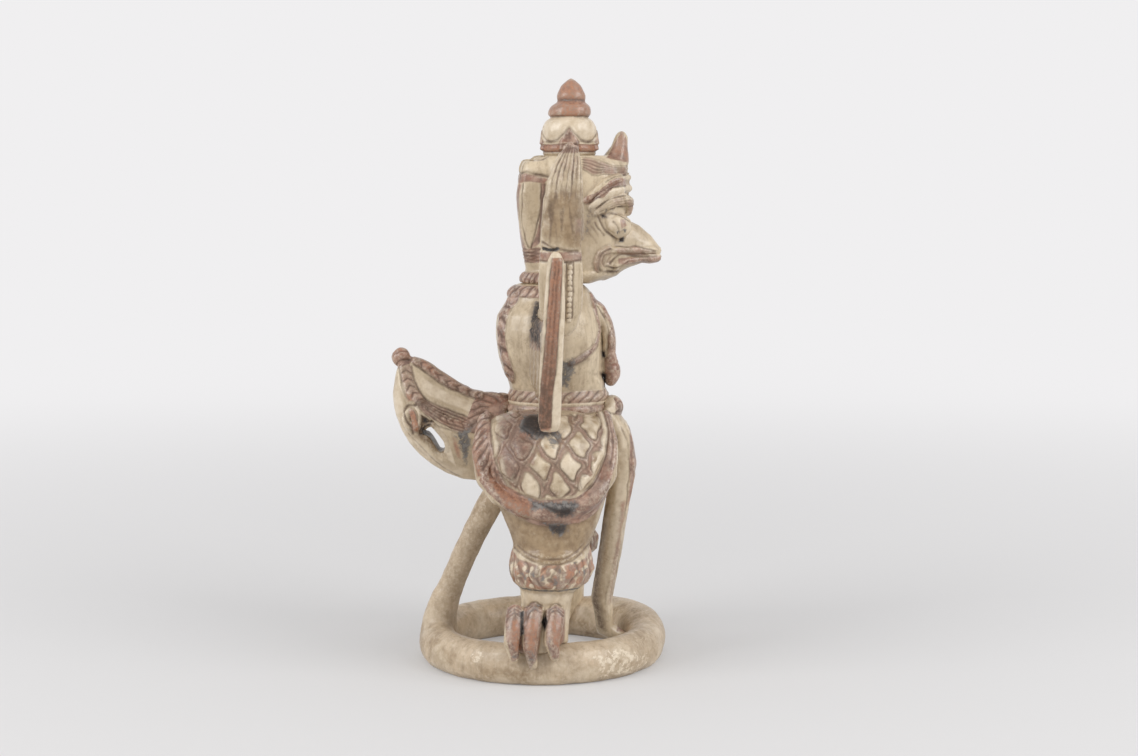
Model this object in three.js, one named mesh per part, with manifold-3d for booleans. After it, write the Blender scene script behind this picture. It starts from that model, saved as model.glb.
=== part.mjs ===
// Carved and painted wooden garuda that stands on a coiled naga. Millimetres, +Z up.
// The beak points along +X and the figure's right side is at -Y.
// The left side mirrors it, but for its foot, which stands a step ahead.
// Every carved block is scribed to its neighbour with a small gap and held by a wooden dowel.
import * as THREE from "three";
import { mergeVertices } from "three/addons/utils/BufferGeometryUtils.js";
import Module from "manifold-3d";

const wasm = await Module();
wasm.setup();

// Heights, stacked from the floor to the tip of the crown
const RING_HEIGHT = 15;
const SHANK_HEIGHT = 20;
const RUFF_HEIGHT = 16;
const THIGH_HEIGHT = 47;
const BELT_HEIGHT = 9.5;
const CHEST_HEIGHT = 42.5;
const HEAD_HEIGHT = 50;
const CROWN_HEIGHT = 30;

// Naga: the ring on the floor and the body that rises behind the legs
const RING_RADIUS = 41.5;
const RING_WIDTH = 14.6;
const RING_FLAT = 8;
const NAGA_THICKNESS = 9.6;

// Torso, lengths along X and widths along Y
const PELVIS_LENGTH = 46;
const PELVIS_WIDTH = 33;
const PELVIS_SETBACK = 3;
const WAIST_LENGTH = 36.5;
const WAIST_WIDTH = 31;
const CHEST_LENGTH = 41.5;
const CHEST_WIDTH = 44;
const NECK_LENGTH = 24.6;
const NECK_WIDTH = 20;
const BAND_HEIGHT = 4.2;
const BAND_RISE = 1.5;
const NECKLACE_WIDTH = 12;
const NECKLACE_THICKNESS = 5;
const PENDANT_HEIGHT = 9.8;

// Leg
const THIGH_LENGTH = 50;
const THIGH_WIDTH = 43;
const KNEE_LENGTH = 28;
const KNEE_WIDTH = 26;
const SHANK_LENGTH = 18.5;
const SHANK_WIDTH = 15;
const RIM_WIDTH = 6.4;
const RUFF_LENGTH = 31.5;
const RUFF_WIDTH = 29;
const RUFF_LOBES = 10;
const LEFT_STEP = 5;
const CLAW_LENGTH = 20.5;
const CLAW_WIDTH = 7;
const CLAW_SPACING = 7.8;
const CLAW_BEND = 1.4;
const KNUCKLE_RISE = 12.5;
const PAD_LENGTH = 19.2;
const PAD_WIDTH = 12.8;
const PAD_HEIGHT = 15;

// Arm and hand
const ARM_REACH = 45.5;
const ARM_THICKNESS = 8.6;
const UPPER_ARM_LENGTH = 12;
const FOREARM_LENGTH = 17;
const FOREARM_HEIGHT = 25;
const PALM_LENGTH = 15.6;
const PALM_HEIGHT = 24;
const FINGER_HEIGHT = 18;
const FINGER_WIDTH = 4.4;
const FINGERS = 4;

// Wing
const WING_THICKNESS = 8.4;
const WING_RIB_WIDTH = 4.8;
const RIB_SEAT = 0.9;
const WING_DROP = 66;
const FEATHERS = 4;
const FEATHER_THICKNESS = 6;
const COVERT_HEIGHT = 8;

// Head
const FACE_LENGTH = 40;
const FACE_WIDTH = 27;
const BEAK_LENGTH = 13;
const BEAK_WIDTH = 16;
const BEAK_HEIGHT = 12.4;
const MOUTH_LEVEL = 12;
const HORN_HEIGHT = 13;
const HORN_LENGTH = 10.6;
const EYE_LENGTH = 12;
const EYE_HEIGHT = 10;
const EYE_RISE = 4;
const EYE_LEVEL = 22.5;
const LIP_THICKNESS = 2.4;
const MOUTH_GAP = 0.8;
const BROW_THICKNESS = 5;
const HAIR_LENGTH = 13;
const HAIR_WIDTH = 23;

// Crown
const CROWN_RADIUS = 11.2;
const LEAF_WIDTH = 9;
const LEAF_HEIGHT = 9.5;
const LEAF_THICKNESS = 2.4;
const LEAVES = 4;

// Tail
const TAIL_LENGTH = 36;
const TAIL_RISE = 17;
const TAIL_HEIGHT = 33;
const TAIL_WIDTH = 25;
const TAIL_SLOT_LENGTH = 14;
const TAIL_SLOT_WIDTH = 7.2;
const TAIL_SLOT_SETBACK = 23;
const TAIL_SLOT_DROP = 9.5;
const TAIL_PEG_DROP = 9;
const TAIL_KNOB = 7;
const VOLUTE_HEIGHT = 11;

// Sash
const SASH_WIDTH = 16;
const SASH_THICKNESS = 9.4;
const SASH_BULGE = 9.8;
const KNOT_WIDTH = 13;
const KNOT_LENGTH = 9.2;
const KNOT_HEIGHT = 9.6;

// Dowels and fits
const DOWEL_DIAMETER = 4;
const DOWEL_DEPTH = 8;
const GAP = 0.3;

// Where the stacked blocks meet
const ANKLE_Z = RING_HEIGHT + SHANK_HEIGHT;
const KNEE_Z = ANKLE_Z + RUFF_HEIGHT;
const WAIST_Z = KNEE_Z + THIGH_HEIGHT;
const CHEST_Z = WAIST_Z + BELT_HEIGHT;
const NECK_Z = CHEST_Z + CHEST_HEIGHT;
const CROWN_Z = NECK_Z + HEAD_HEIGHT;

// Fore-and-aft centres of the blocks, from the middle of the ring
const LEG_X = 2.5;
const BODY_X = 4;
const ARM_X = 7.8;
const WING_X = 4.8;
const CROWN_X = 11;
const FOOT_X = -2.4;
const FACE_X = 34.6;
const NAPE_X = FACE_X - FACE_LENGTH;

// Faces round a form
const FINE = 16;
const MEDIUM = 12;
const COARSE = 8;

// Squareness of the skull's outlines: 2 is an ellipse
const SKULL_POWER = 2.3;

const up = new THREE.Vector3(0, 0, 1);
const aside = new THREE.Vector3(0, 1, 0);
const ahead = new THREE.Vector3(1, 0, 0);

function point(x, y, z) {
  return new THREE.Vector3(x, y, z);
}

// Value at share t of a smooth run through evenly spaced values
function smooth(values, t) {
  const last = values.length - 1;
  const place = t * last;
  const i = Math.min(Math.floor(place), last - 1);
  const f = place - i;
  const [a, b, c, d] = [-1, 0, 1, 2].map((k) => values[THREE.MathUtils.clamp(i + k, 0, last)]);
  return b + 0.5 * f * (c - a + f * (2 * a - 5 * b + 4 * c - d + f * (3 * (b - c) + d - a)));
}

// Closed skin over rings of points: capped at both ends, or joined into a loop
function skin(rings, loop = false) {
  const sides = rings[0].length;
  const points = rings.flat();
  const index = [];
  const spans = loop ? rings.length : rings.length - 1;
  for (let i = 0; i < spans; i++) {
    const near = i * sides;
    const far = ((i + 1) % rings.length) * sides;
    for (let j = 0; j < sides; j++) {
      const k = (j + 1) % sides;
      index.push(near + j, near + k, far + k, near + j, far + k, far + j);
    }
  }
  if (!loop) {
    for (const [ring, first] of [[rings[0], 0], [rings.at(-1), points.length - sides]]) {
      const middle = ring.reduce((sum, p) => sum.add(p), point(0, 0, 0)).divideScalar(sides);
      const tip = points.push(middle) - 1;
      for (let j = 0; j < sides; j++) {
        const k = (j + 1) % sides;
        index.push(...(first === 0 ? [tip, first + k, first + j] : [tip, first + j, first + k]));
      }
    }
  }
  return new THREE.BufferGeometry().setFromPoints(points).setIndex(index);
}

// Share of the half-length along one axis of a rounded outline; a higher power is squarer
function rounded(value, power) {
  return Math.sign(value) * Math.abs(value) ** (2 / power);
}

// Horizontal outlines stacked upwards: each station has z, x, y, half-lengths rx and ry.
// A band is a raised strip of the stack, centred at its z.
function stack(stations, options = {}) {
  const { sides = FINE, steps = 2, power = 2, grow = 0, lobes = 0, lobeDepth = 0, bands = [] } = options;
  const at = (key, t) => smooth(stations.map((station) => station[key] ?? 0), t);
  const count = Math.round((stations.length - 1) * steps);
  const clear = (t) => bands.every((band) => Math.abs(at("z", t) - band.z) > band.height);
  const shares = Array.from({ length: count + 1 }, (_, i) => ({ t: i / count, rise: 0 }))
    .filter(({ t }) => t === 0 || t === 1 || clear(t));
  for (const { z, height, rise } of bands) {
    for (const [offset, lift] of [[-0.55, 0], [-0.4, 0.8], [0, 1], [0.4, 0.8], [0.55, 0]]) {
      shares.push({ t: shareAt(stations, z + offset * height), rise: lift * rise });
    }
  }
  shares.sort((one, other) => one.t - other.t);
  const rings = shares.map(({ t, rise }, i) => {
    const ends = (i === shares.length - 1 ? grow : 0) - (i === 0 ? grow : 0);
    return Array.from({ length: sides }, (_, j) => {
      const angle = (j / sides) * 2 * Math.PI;
      const lobe = 1 + lobeDepth * Math.cos(lobes * angle) * Math.sin(Math.PI * t);
      return point(
        at("x", t) + (at("rx", t) + rise + grow) * lobe * rounded(Math.cos(angle), power),
        at("y", t) + (at("ry", t) + rise + grow) * lobe * rounded(Math.sin(angle), power),
        at("z", t) + ends,
      );
    });
  });
  return skin(rings);
}

// Share of a stack at which it reaches a height, found by halving
function shareAt(stations, z) {
  const heights = stations.map((station) => station.z);
  let low = 0;
  let high = 1;
  for (let i = 0; i < 30; i++) {
    const middle = (low + high) / 2;
    if (smooth(heights, middle) < z) {
      low = middle;
    } else {
      high = middle;
    }
  }
  return low;
}

// Half-width of a stack at a place along it and a height
function sideAt(stations, power, x, z) {
  const t = shareAt(stations, z);
  const at = (key) => smooth(stations.map((station) => station[key] ?? 0), t);
  const share = Math.min(Math.abs(x - at("x")) / at("rx"), 1);
  return at("ry") * (1 - share ** power) ** (1 / power);
}

// Rounded section swept along a curve: sizes are [half-width along across, half-thickness]
function sweep(path, sizes, { across = aside, sides = COARSE, steps = 3, power = 2, grow = 0 } = {}) {
  const curve = new THREE.CatmullRomCurve3(path, false, "catmullrom", 0.5);
  const count = (path.length - 1) * steps;
  const rings = Array.from({ length: count + 1 }, (_, i) => {
    const t = i / count;
    const centre = curve.getPoint(t);
    const along = curve.getTangent(t);
    const thick = new THREE.Vector3().crossVectors(along, across).normalize();
    const wide = new THREE.Vector3().crossVectors(thick, along);
    const half = [0, 1].map((k) => smooth(sizes.map((size) => size[k]), t) + grow);
    return Array.from({ length: sides }, (_, j) => {
      const angle = ((j + 0.5) / sides) * 2 * Math.PI;
      return centre.clone()
        .addScaledVector(wide, half[0] * rounded(Math.cos(angle), power))
        .addScaledVector(thick, half[1] * rounded(Math.sin(angle), power));
    });
  });
  return skin(rings);
}

// Half-sizes for a sweep, as shares of a half-width and a half-thickness
function halves(shares, wide, thick = wide) {
  return shares.map(([w, t = w]) => [w * wide, t * thick]);
}

function ball(centre, rx, ry, rz, grow = 0) {
  const geometry = new THREE.SphereGeometry(1, COARSE, COARSE - 2);
  geometry.rotateX(Math.PI / 2);
  geometry.scale(rx + grow, ry + grow, rz + grow);
  return geometry.translate(centre.x, centre.y, centre.z);
}

function rod(start, end, diameter) {
  const span = new THREE.Vector3().subVectors(end, start);
  const geometry = new THREE.CylinderGeometry(diameter / 2, diameter / 2, span.length(), COARSE);
  geometry.applyQuaternion(new THREE.Quaternion().setFromUnitVectors(aside, span.clone().normalize()));
  const middle = start.clone().addScaledVector(span, 0.5);
  return geometry.translate(middle.x, middle.y, middle.z);
}

function mirrored(geometry) {
  return geometry.clone().scale(1, -1, 1);
}

// Closed geometry as a solid that can be joined and cut, with its faces turned outwards
function solid(geometry) {
  const bare = geometry.clone();
  bare.deleteAttribute("normal");
  bare.deleteAttribute("uv");
  const merged = mergeVertices(bare, 1e-4);
  const place = merged.getAttribute("position");
  const index = Uint32Array.from(merged.getIndex().array);
  const corner = (k) => point(0, 0, 0).fromBufferAttribute(place, index[k]);
  let volume = 0;
  for (let i = 0; i < index.length; i += 3) {
    volume += corner(i).dot(corner(i + 1).cross(corner(i + 2)));
  }
  if (volume < 0) {
    index.reverse();
  }
  return new wasm.Manifold(new wasm.Mesh({ numProp: 3, vertProperties: place.array, triVerts: index }));
}

function join(geometries) {
  return geometries.map(solid).reduce((whole, piece) => whole.add(piece));
}

function cut(body, tools) {
  return tools.reduce((rest, tool) => rest.subtract(tool), body);
}

// Forms: each takes how far to grow, so the same form also cuts a seat in its neighbour

function ringForm(grow) {
  const half = RING_WIDTH / 2 + grow;
  const flat = RING_FLAT / 2;
  const outline = new THREE.Shape();
  outline.moveTo(RING_RADIUS - flat, -grow);
  outline.lineTo(RING_RADIUS + flat, -grow);
  outline.bezierCurveTo(
    RING_RADIUS + half * 1.2, -grow,
    RING_RADIUS + half * 1.28, RING_HEIGHT + grow,
    RING_RADIUS, RING_HEIGHT + grow,
  );
  outline.bezierCurveTo(
    RING_RADIUS - half * 1.28, RING_HEIGHT + grow,
    RING_RADIUS - half * 1.2, -grow,
    RING_RADIUS - flat, -grow,
  );
  const profile = outline.getPoints(4);
  const geometry = new THREE.LatheGeometry(profile, 2 * FINE + 4);
  return [geometry.rotateX(Math.PI / 2)];
}

function nagaBodyPath() {
  return [
    point(-RING_RADIUS, 0, RING_HEIGHT / 2),
    point(-RING_RADIUS + 0.5, 0, RING_HEIGHT),
    point(-RING_RADIUS + 3.4, 0, RING_HEIGHT + 9),
    point(BODY_X - 34, 0, (ANKLE_Z + KNEE_Z) / 2),
    point(BODY_X - 25.7, 0, KNEE_Z + 0.18 * THIGH_HEIGHT),
    point(BODY_X - 16, 0, KNEE_Z + 0.56 * THIGH_HEIGHT),
  ];
}

function nagaBody() {
  const root = RING_WIDTH / 2 - GAP;
  const neck = NAGA_THICKNESS / 2;
  const sizes = [...halves([[1], [0.92]], root), ...halves([[1.08], [1], [1], [1]], neck)];
  return sweep(nagaBodyPath(), sizes, { sides: MEDIUM, steps: 2 });
}

function torsoForm(grow) {
  const hip = (share) => KNEE_Z + share * THIGH_HEIGHT;
  const breast = (share) => CHEST_Z + share * CHEST_HEIGHT;
  const trunk = stack([
    { z: hip(0.11), x: BODY_X, rx: 0.2 * PELVIS_LENGTH, ry: 0.24 * PELVIS_WIDTH },
    { z: hip(0.19), x: BODY_X - 1, rx: 0.35 * PELVIS_LENGTH, ry: 0.36 * PELVIS_WIDTH },
    { z: hip(0.4), x: BODY_X - 2.5, rx: 0.47 * PELVIS_LENGTH, ry: 0.46 * PELVIS_WIDTH },
    { z: hip(0.7), x: BODY_X - PELVIS_SETBACK, rx: 0.5 * PELVIS_LENGTH, ry: 0.5 * PELVIS_WIDTH },
    { z: hip(0.92), x: BODY_X - 1, rx: 0.45 * PELVIS_LENGTH, ry: 0.49 * PELVIS_WIDTH },
    { z: WAIST_Z + 1, x: BODY_X + 1.6, rx: 0.5 * WAIST_LENGTH, ry: 0.5 * WAIST_WIDTH },
    { z: CHEST_Z, x: BODY_X + 1.8, rx: 0.49 * WAIST_LENGTH, ry: 0.5 * WAIST_WIDTH },
    { z: breast(0.16), x: BODY_X + 1, rx: 0.46 * CHEST_LENGTH, ry: 0.4 * CHEST_WIDTH },
    { z: breast(0.34), x: BODY_X, rx: 0.49 * CHEST_LENGTH, ry: 0.47 * CHEST_WIDTH },
    { z: breast(0.54), x: BODY_X - 0.7, rx: 0.5 * CHEST_LENGTH, ry: 0.5 * CHEST_WIDTH },
    { z: breast(0.72), x: BODY_X - 0.8, rx: 0.48 * CHEST_LENGTH, ry: 0.46 * CHEST_WIDTH },
    { z: breast(0.87), x: BODY_X, rx: 0.42 * CHEST_LENGTH, ry: 0.35 * CHEST_WIDTH },
    { z: NECK_Z, x: BODY_X - 0.4, rx: 0.5 * NECK_LENGTH, ry: 0.5 * NECK_WIDTH },
  ], {
    grow,
    steps: 1,
    bands: [WAIST_Z + 0.25 * BELT_HEIGHT, CHEST_Z - 0.25 * BELT_HEIGHT, NECK_Z - 0.6 * BAND_HEIGHT]
      .map((z) => ({ z, height: BAND_HEIGHT, rise: BAND_RISE })),
  });
  return [trunk, ...necklaceForm(grow)];
}

// Band that hangs from the collar over the breast and ends in a pendant
function necklaceForm(grow) {
  const front = BODY_X - 0.7 + CHEST_LENGTH / 2;
  const path = [
    point(front - 9, 0, NECK_Z - 3),
    point(front - 3.6, 0, NECK_Z - 7.6),
    point(front + 0.4, 0, NECK_Z - 14),
    point(front + 3, 0, NECK_Z - 22.5),
    point(front + 2.4, 0, NECK_Z - 30),
    point(front + 2.6, 0, NECK_Z - 35),
  ];
  const shares = [[1], [1], [1], [1], [0.75, 1], [0.5, 0.9]];
  const band = sweep(path, halves(shares, NECKLACE_WIDTH / 2, NECKLACE_THICKNESS / 2), { grow, steps: 1 });
  const pendant = ball(
    point(front + 4, 0, NECK_Z - 34.8),
    0.34 * PENDANT_HEIGHT,
    0.42 * PENDANT_HEIGHT,
    0.5 * PENDANT_HEIGHT,
    grow,
  );
  return [band, pendant];
}

// Leg whose foot stands a step ahead of its hip's place
function legForm(grow, step = 0) {
  const foot = RING_RADIUS;
  const hipY = PELVIS_WIDTH / 2 + 9.5;
  const thigh = (share) => KNEE_Z + share * THIGH_HEIGHT;
  const side = (share) => -THREE.MathUtils.lerp(foot - 9, hipY, share);
  const slice = (z, x, y, rx, ry, lead = 0) => ({ z, x: LEG_X + x + lead * step, y, rx, ry });
  const limb = stack([
    slice(RING_HEIGHT - 6, -1, -(foot - 4), 0.42 * SHANK_LENGTH, 0.42 * SHANK_WIDTH, 1),
    slice(RING_HEIGHT + 3, -0.5, -(foot - 4), 0.47 * SHANK_LENGTH, 0.47 * SHANK_WIDTH, 1),
    slice(RING_HEIGHT + 0.7 * SHANK_HEIGHT, -0.5, -(foot - 5.5), 0.5 * SHANK_LENGTH, 0.5 * SHANK_WIDTH, 1),
    slice(ANKLE_Z + 4, 0.7, -(foot - 7), 0.6 * SHANK_LENGTH, 0.66 * SHANK_WIDTH, 1),
    slice(KNEE_Z, 1.6, side(0), 0.5 * KNEE_LENGTH, 0.5 * KNEE_WIDTH, 0.8),
    slice(thigh(0.22), 1.8, side(0.45), 0.365 * THIGH_LENGTH, 0.38 * THIGH_WIDTH, 0.4),
    slice(thigh(0.47), 0.9, side(0.85), 0.45 * THIGH_LENGTH, 0.455 * THIGH_WIDTH),
    slice(thigh(0.72), -0.4, side(1), 0.498 * THIGH_LENGTH, 0.5 * THIGH_WIDTH),
    slice(thigh(0.9), -0.9, side(1) + 1, 0.48 * THIGH_LENGTH, 0.44 * THIGH_WIDTH),
    slice(thigh(1.03), -1.4, side(1) + 3, 0.39 * THIGH_LENGTH, 0.31 * THIGH_WIDTH),
    slice(thigh(1.08), -1.4, side(1) + 4, 0.2 * THIGH_LENGTH, 0.14 * THIGH_WIDTH),
  ], { grow, steps: 1.4 });
  const stepped = [ruffForm(grow), ...footForm(grow)].map((form) => form.translate(step, 0, 0));
  return [limb, skirtRim(hipY, grow), ...stepped];
}

// Rim of the feathered skirt: it runs down behind, under and up in front of the thigh to the belt
function skirtRim(hipY, grow) {
  const points = 11;
  const middleZ = KNEE_Z + 0.69 * THIGH_HEIGHT;
  const path = Array.from({ length: points }, (_, i) => {
    const angle = THREE.MathUtils.degToRad(THREE.MathUtils.lerp(150, 392, i / (points - 1)));
    const high = Math.sin(angle);
    const below = Math.max(0, -high) ** 1.4;
    const above = Math.max(0, high) ** 1.2;
    return point(
      LEG_X - 0.6 + 0.5 * THIGH_LENGTH * Math.cos(angle),
      -(hipY + (0.17 + 0.27 * below - 0.55 * above) * THIGH_WIDTH),
      middleZ + (high < 0 ? 0.37 : 0.7) * THIGH_HEIGHT * high,
    );
  });
  const half = RIM_WIDTH / 2;
  return sweep(path, path.map(() => [half, half]), { sides: 6, steps: 1, grow });
}

// Feathered cuff round the top of the shank
function ruffForm(grow) {
  const y = -(RING_RADIUS - 8);
  return stack([
    { z: ANKLE_Z - 0.8, x: LEG_X + 0.8, y, rx: 0.31 * RUFF_LENGTH, ry: 0.33 * RUFF_WIDTH },
    { z: ANKLE_Z + 2.6, x: LEG_X + 1.4, y, rx: 0.44 * RUFF_LENGTH, ry: 0.46 * RUFF_WIDTH },
    { z: ANKLE_Z + 0.5 * RUFF_HEIGHT, x: LEG_X + 1.5, y, rx: 0.5 * RUFF_LENGTH, ry: 0.5 * RUFF_WIDTH },
    { z: KNEE_Z - 1, x: LEG_X + 1.6, y: y + 0.5, rx: 0.47 * RUFF_LENGTH, ry: 0.47 * RUFF_WIDTH },
    { z: KNEE_Z + 1, x: LEG_X + 1.6, y: y + 0.5, rx: 0.43 * RUFF_LENGTH, ry: 0.43 * RUFF_WIDTH },
  ], { grow, sides: 2 * RUFF_LOBES, steps: 1, lobes: RUFF_LOBES, lobeDepth: 0.035 });
}

// Three claws that grip the outside of the ring, the pad they grow from and a heel spur inside it
function footForm(grow) {
  const outer = RING_RADIUS + RING_WIDTH / 2;
  const inner = RING_RADIUS - RING_WIDTH / 2;
  const half = CLAW_WIDTH / 2;
  const knuckle = RING_HEIGHT + KNUCKLE_RISE;
  const section = { across: ahead, sides: 6, steps: 1, grow };
  const claws = [-0.9, 0, 1.05].map((step) => {
    const x = FOOT_X + step * CLAW_SPACING;
    const tip = knuckle + half - CLAW_LENGTH - (step === 0 ? 3 : 0);
    const path = [
      point(x + 0.2 * (LEG_X - x), -(RING_RADIUS - 3), knuckle - 2.5),
      point(x, -(outer - 4), knuckle),
      point(x - 0.5 * CLAW_BEND, -(outer - 0.3), knuckle - 0.28 * CLAW_LENGTH),
      point(x - CLAW_BEND, -(outer + 1.4), (knuckle + tip) / 2 - 1.5),
      point(x, -(outer + 0.8), tip),
    ];
    return sweep(path, halves([[1], [1.1, 1.15], [1, 0.9], [0.86, 0.8], [0.46, 0.42]], half), section);
  });
  const padCentre = point(FOOT_X, -(RING_RADIUS + 1.5), RING_HEIGHT + 2);
  const pad = ball(padCentre, PAD_LENGTH / 2, PAD_WIDTH / 2, PAD_HEIGHT / 2, grow);
  const spurPath = [
    point(LEG_X, -(inner + 3), RING_HEIGHT + 7),
    point(LEG_X, -(inner - 1.5), RING_HEIGHT + 2),
    point(LEG_X, -(inner - 2.6), 0.6 * RING_HEIGHT),
    point(LEG_X, -(inner - 2), 0.25 * RING_HEIGHT),
  ];
  const spur = sweep(spurPath, halves([[1], [1], [0.8], [0.25]], half), section);
  return [...claws, pad, spur];
}

function shoulderZ() {
  return CHEST_Z + 0.72 * CHEST_HEIGHT;
}

function armForm(grow) {
  const elbowZ = shoulderZ() - 0.5;
  const wristZ = elbowZ + FOREARM_HEIGHT;
  const palmZ = wristZ + PALM_HEIGHT;
  const thick = ARM_THICKNESS / 2;
  const upper = UPPER_ARM_LENGTH / 2;
  const upperPath = [
    point(BODY_X, -0.3 * CHEST_WIDTH, shoulderZ()),
    point(BODY_X + 1, -0.56 * CHEST_WIDTH, shoulderZ()),
    point(ARM_X - 1, -(ARM_REACH - 8), elbowZ + 1),
    point(ARM_X, -(ARM_REACH - 1), elbowZ + 3),
  ];
  const upperSizes = [...halves([[1], [1], [0.95]], upper), [0.8 * upper, 0.9 * thick]];
  const upperArm = sweep(upperPath, upperSizes, { across: ahead, steps: 1, grow });
  const forePath = [
    point(ARM_X, -(ARM_REACH - 1.4), elbowZ - 4.5),
    point(ARM_X, -(ARM_REACH - 0.8), elbowZ - 1),
    point(ARM_X, -(ARM_REACH - 0.2), elbowZ + 6),
    point(ARM_X, -ARM_REACH, elbowZ + 0.6 * FOREARM_HEIGHT),
    point(ARM_X, -ARM_REACH, wristZ),
    point(ARM_X + 0.1, -ARM_REACH, wristZ + 3),
    point(ARM_X + 0.3, -ARM_REACH, wristZ + 0.4 * PALM_HEIGHT),
    point(ARM_X + 0.9, -ARM_REACH + 0.6, palmZ - 3),
    point(ARM_X + 1.9, -ARM_REACH + 1.4, palmZ + 2),
  ];
  const foreSizes = [
    ...halves([[0.4, 0.5], [0.72, 0.85], [0.96, 1], [1], [0.94, 0.92]], FOREARM_LENGTH / 2, thick),
    ...halves([[0.96, 0.9], [1, 0.95], [0.95, 0.8], [0.7, 0.5]], PALM_LENGTH / 2, thick),
  ];
  const forearm = sweep(forePath, foreSizes, { across: ahead, sides: 10, steps: 1, grow });
  return [upperArm, forearm, ...fingersForm(palmZ, grow)];
}

// Fingers held together and upright, and a thumb folded against the palm
function fingersForm(palmZ, grow) {
  const half = FINGER_WIDTH / 2;
  const section = { across: ahead, sides: 6, steps: 1, grow };
  const fingers = Array.from({ length: FINGERS }, (_, i) => {
    const place = i - (FINGERS - 1) / 2;
    const root = ARM_X + 0.7 + place * (PALM_LENGTH - FINGER_WIDTH) / (FINGERS - 1);
    const tip = ARM_X + 2.9 + 0.4 * place * FINGER_WIDTH;
    const reach = FINGER_HEIGHT - 1.1 * Math.abs(place - 0.4) ** 2;
    const path = [
      point(root, -ARM_REACH - 0.4, palmZ - 0.5 * FINGER_HEIGHT),
      point(THREE.MathUtils.lerp(root, tip, 0.4), -ARM_REACH + 0.2, palmZ + 0.2 * reach),
      point(THREE.MathUtils.lerp(root, tip, 0.8), -ARM_REACH + 1.8, palmZ + 0.66 * reach),
      point(tip, -ARM_REACH + 3.4, palmZ + reach),
    ];
    return sweep(path, halves([[1], [1], [0.85, 0.8], [0.35]], half), section);
  });
  const thumbPath = [
    point(ARM_X + 0.42 * PALM_LENGTH, -ARM_REACH + 1.5, palmZ - 0.75 * PALM_HEIGHT),
    point(ARM_X + 0.42 * PALM_LENGTH, -ARM_REACH + 4, palmZ - 0.4 * PALM_HEIGHT),
    point(ARM_X + 0.3 * PALM_LENGTH, -ARM_REACH + 4.4, palmZ - 1),
  ];
  const thumb = sweep(thumbPath, halves([[1], [1], [0.5]], half), section);
  return [...fingers, thumb];
}

// Middle of the wing's outer rib, which is let into the outside of the forearm
function wingRibY() {
  return ARM_REACH + ARM_THICKNESS / 2 - RIB_SEAT + WING_RIB_WIDTH / 2;
}

function wingForm() {
  const outerY = wingRibY();
  const innerY = 0.5 * CHEST_WIDTH + 1;
  const topZ = shoulderZ() + FOREARM_HEIGHT + 1;
  const half = WING_THICKNESS / 2;
  const ribPath = [
    point(WING_X + 1.3, -outerY + 0.6, topZ),
    point(WING_X + 1.2, -outerY, topZ - 3),
    point(WING_X + 0.8, -outerY, topZ - 0.3 * WING_DROP),
    point(WING_X - 0.6, -outerY, topZ - 0.65 * WING_DROP),
    point(WING_X - 1.2, -outerY, topZ - 0.95 * WING_DROP),
    point(WING_X - 1.2, -outerY + 0.4, topZ - WING_DROP),
  ];
  const ribShares = [[0.3, 0.4], [0.7, 0.9], [0.92, 1], [1], [1], [0.75, 0.8]];
  const ribSizes = halves(ribShares, half, WING_RIB_WIDTH / 2);
  const rib = sweep(ribPath, ribSizes, { across: ahead, power: 3, steps: 1 });
  const pitch = (outerY - innerY) / FEATHERS;
  const feathers = Array.from({ length: FEATHERS }, (_, i) => {
    const y = -(innerY + (i + 0.42) * pitch);
    const x = WING_X - 6 + 4.4 * (i / (FEATHERS - 1));
    const tip = WAIST_Z + 13.5 - 3.2 * i;
    const path = [
      point(x, y, shoulderZ() - 4),
      point(x, y, THREE.MathUtils.lerp(shoulderZ(), tip, 0.5)),
      point(x - 0.4, y - 0.4, THREE.MathUtils.lerp(shoulderZ(), tip, 0.8)),
      point(x - 0.6, y - 0.8, tip),
    ];
    const sizes = halves([[1], [1], [0.85, 0.9], [0.25, 0.4]], 0.66 * pitch, FEATHER_THICKNESS / 2);
    return sweep(path, sizes, { power: 2.6, sides: 6, steps: 1 });
  });
  const covertPath = [
    point(WING_X - 4.8, -innerY + 2, shoulderZ() - 3.6),
    point(WING_X - 2.4, -(innerY + outerY) / 2, shoulderZ() - 3.8),
    point(WING_X + 0.4, -outerY, shoulderZ() - 4.4),
  ];
  const covertSizes = halves([[0.8, 1], [0.9, 1], [0.8, 1]], half, COVERT_HEIGHT / 2);
  const covert = sweep(covertPath, covertSizes, { across: ahead, power: 2.6, steps: 1 });
  return [rib, covert, ...feathers];
}

function skullSlices() {
  const level = (share) => NECK_Z + GAP + share * (HEAD_HEIGHT - GAP);
  const slice = (share, rear, front, wide) => ({
    z: level(share),
    x: (rear + front) / 2,
    rx: (front - rear) / 2,
    ry: wide * FACE_WIDTH / 2,
  });
  const neckX = BODY_X + 1;
  return [
    slice(0, neckX - NECK_LENGTH / 2, neckX + NECK_LENGTH / 2 - 1, NECK_WIDTH / FACE_WIDTH),
    slice(0.05, NAPE_X - 1, FACE_X - 11, 0.72),
    slice(0.1, NAPE_X, FACE_X - 5.4, 0.76),
    slice(0.17, NAPE_X, FACE_X - 3.4, 0.86),
    slice(0.28, NAPE_X, FACE_X - 2.6, 0.96),
    slice(0.44, NAPE_X, FACE_X - 1.4, 1),
    slice(0.62, NAPE_X, FACE_X - 0.4, 1),
    slice(0.78, NAPE_X, FACE_X, 0.98),
    slice(0.9, NAPE_X, FACE_X - 0.4, 0.92),
    slice(0.96, NAPE_X + 0.5, FACE_X - 2, 0.82),
    slice(1, NAPE_X + 2.5, FACE_X - 7, 0.7),
  ];
}

// Point on the right side of the skull, lifted off it
function onSkull(x, z, lift = 0) {
  return point(x, -(sideAt(skullSlices(), SKULL_POWER, x, z) + lift), z);
}

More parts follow.
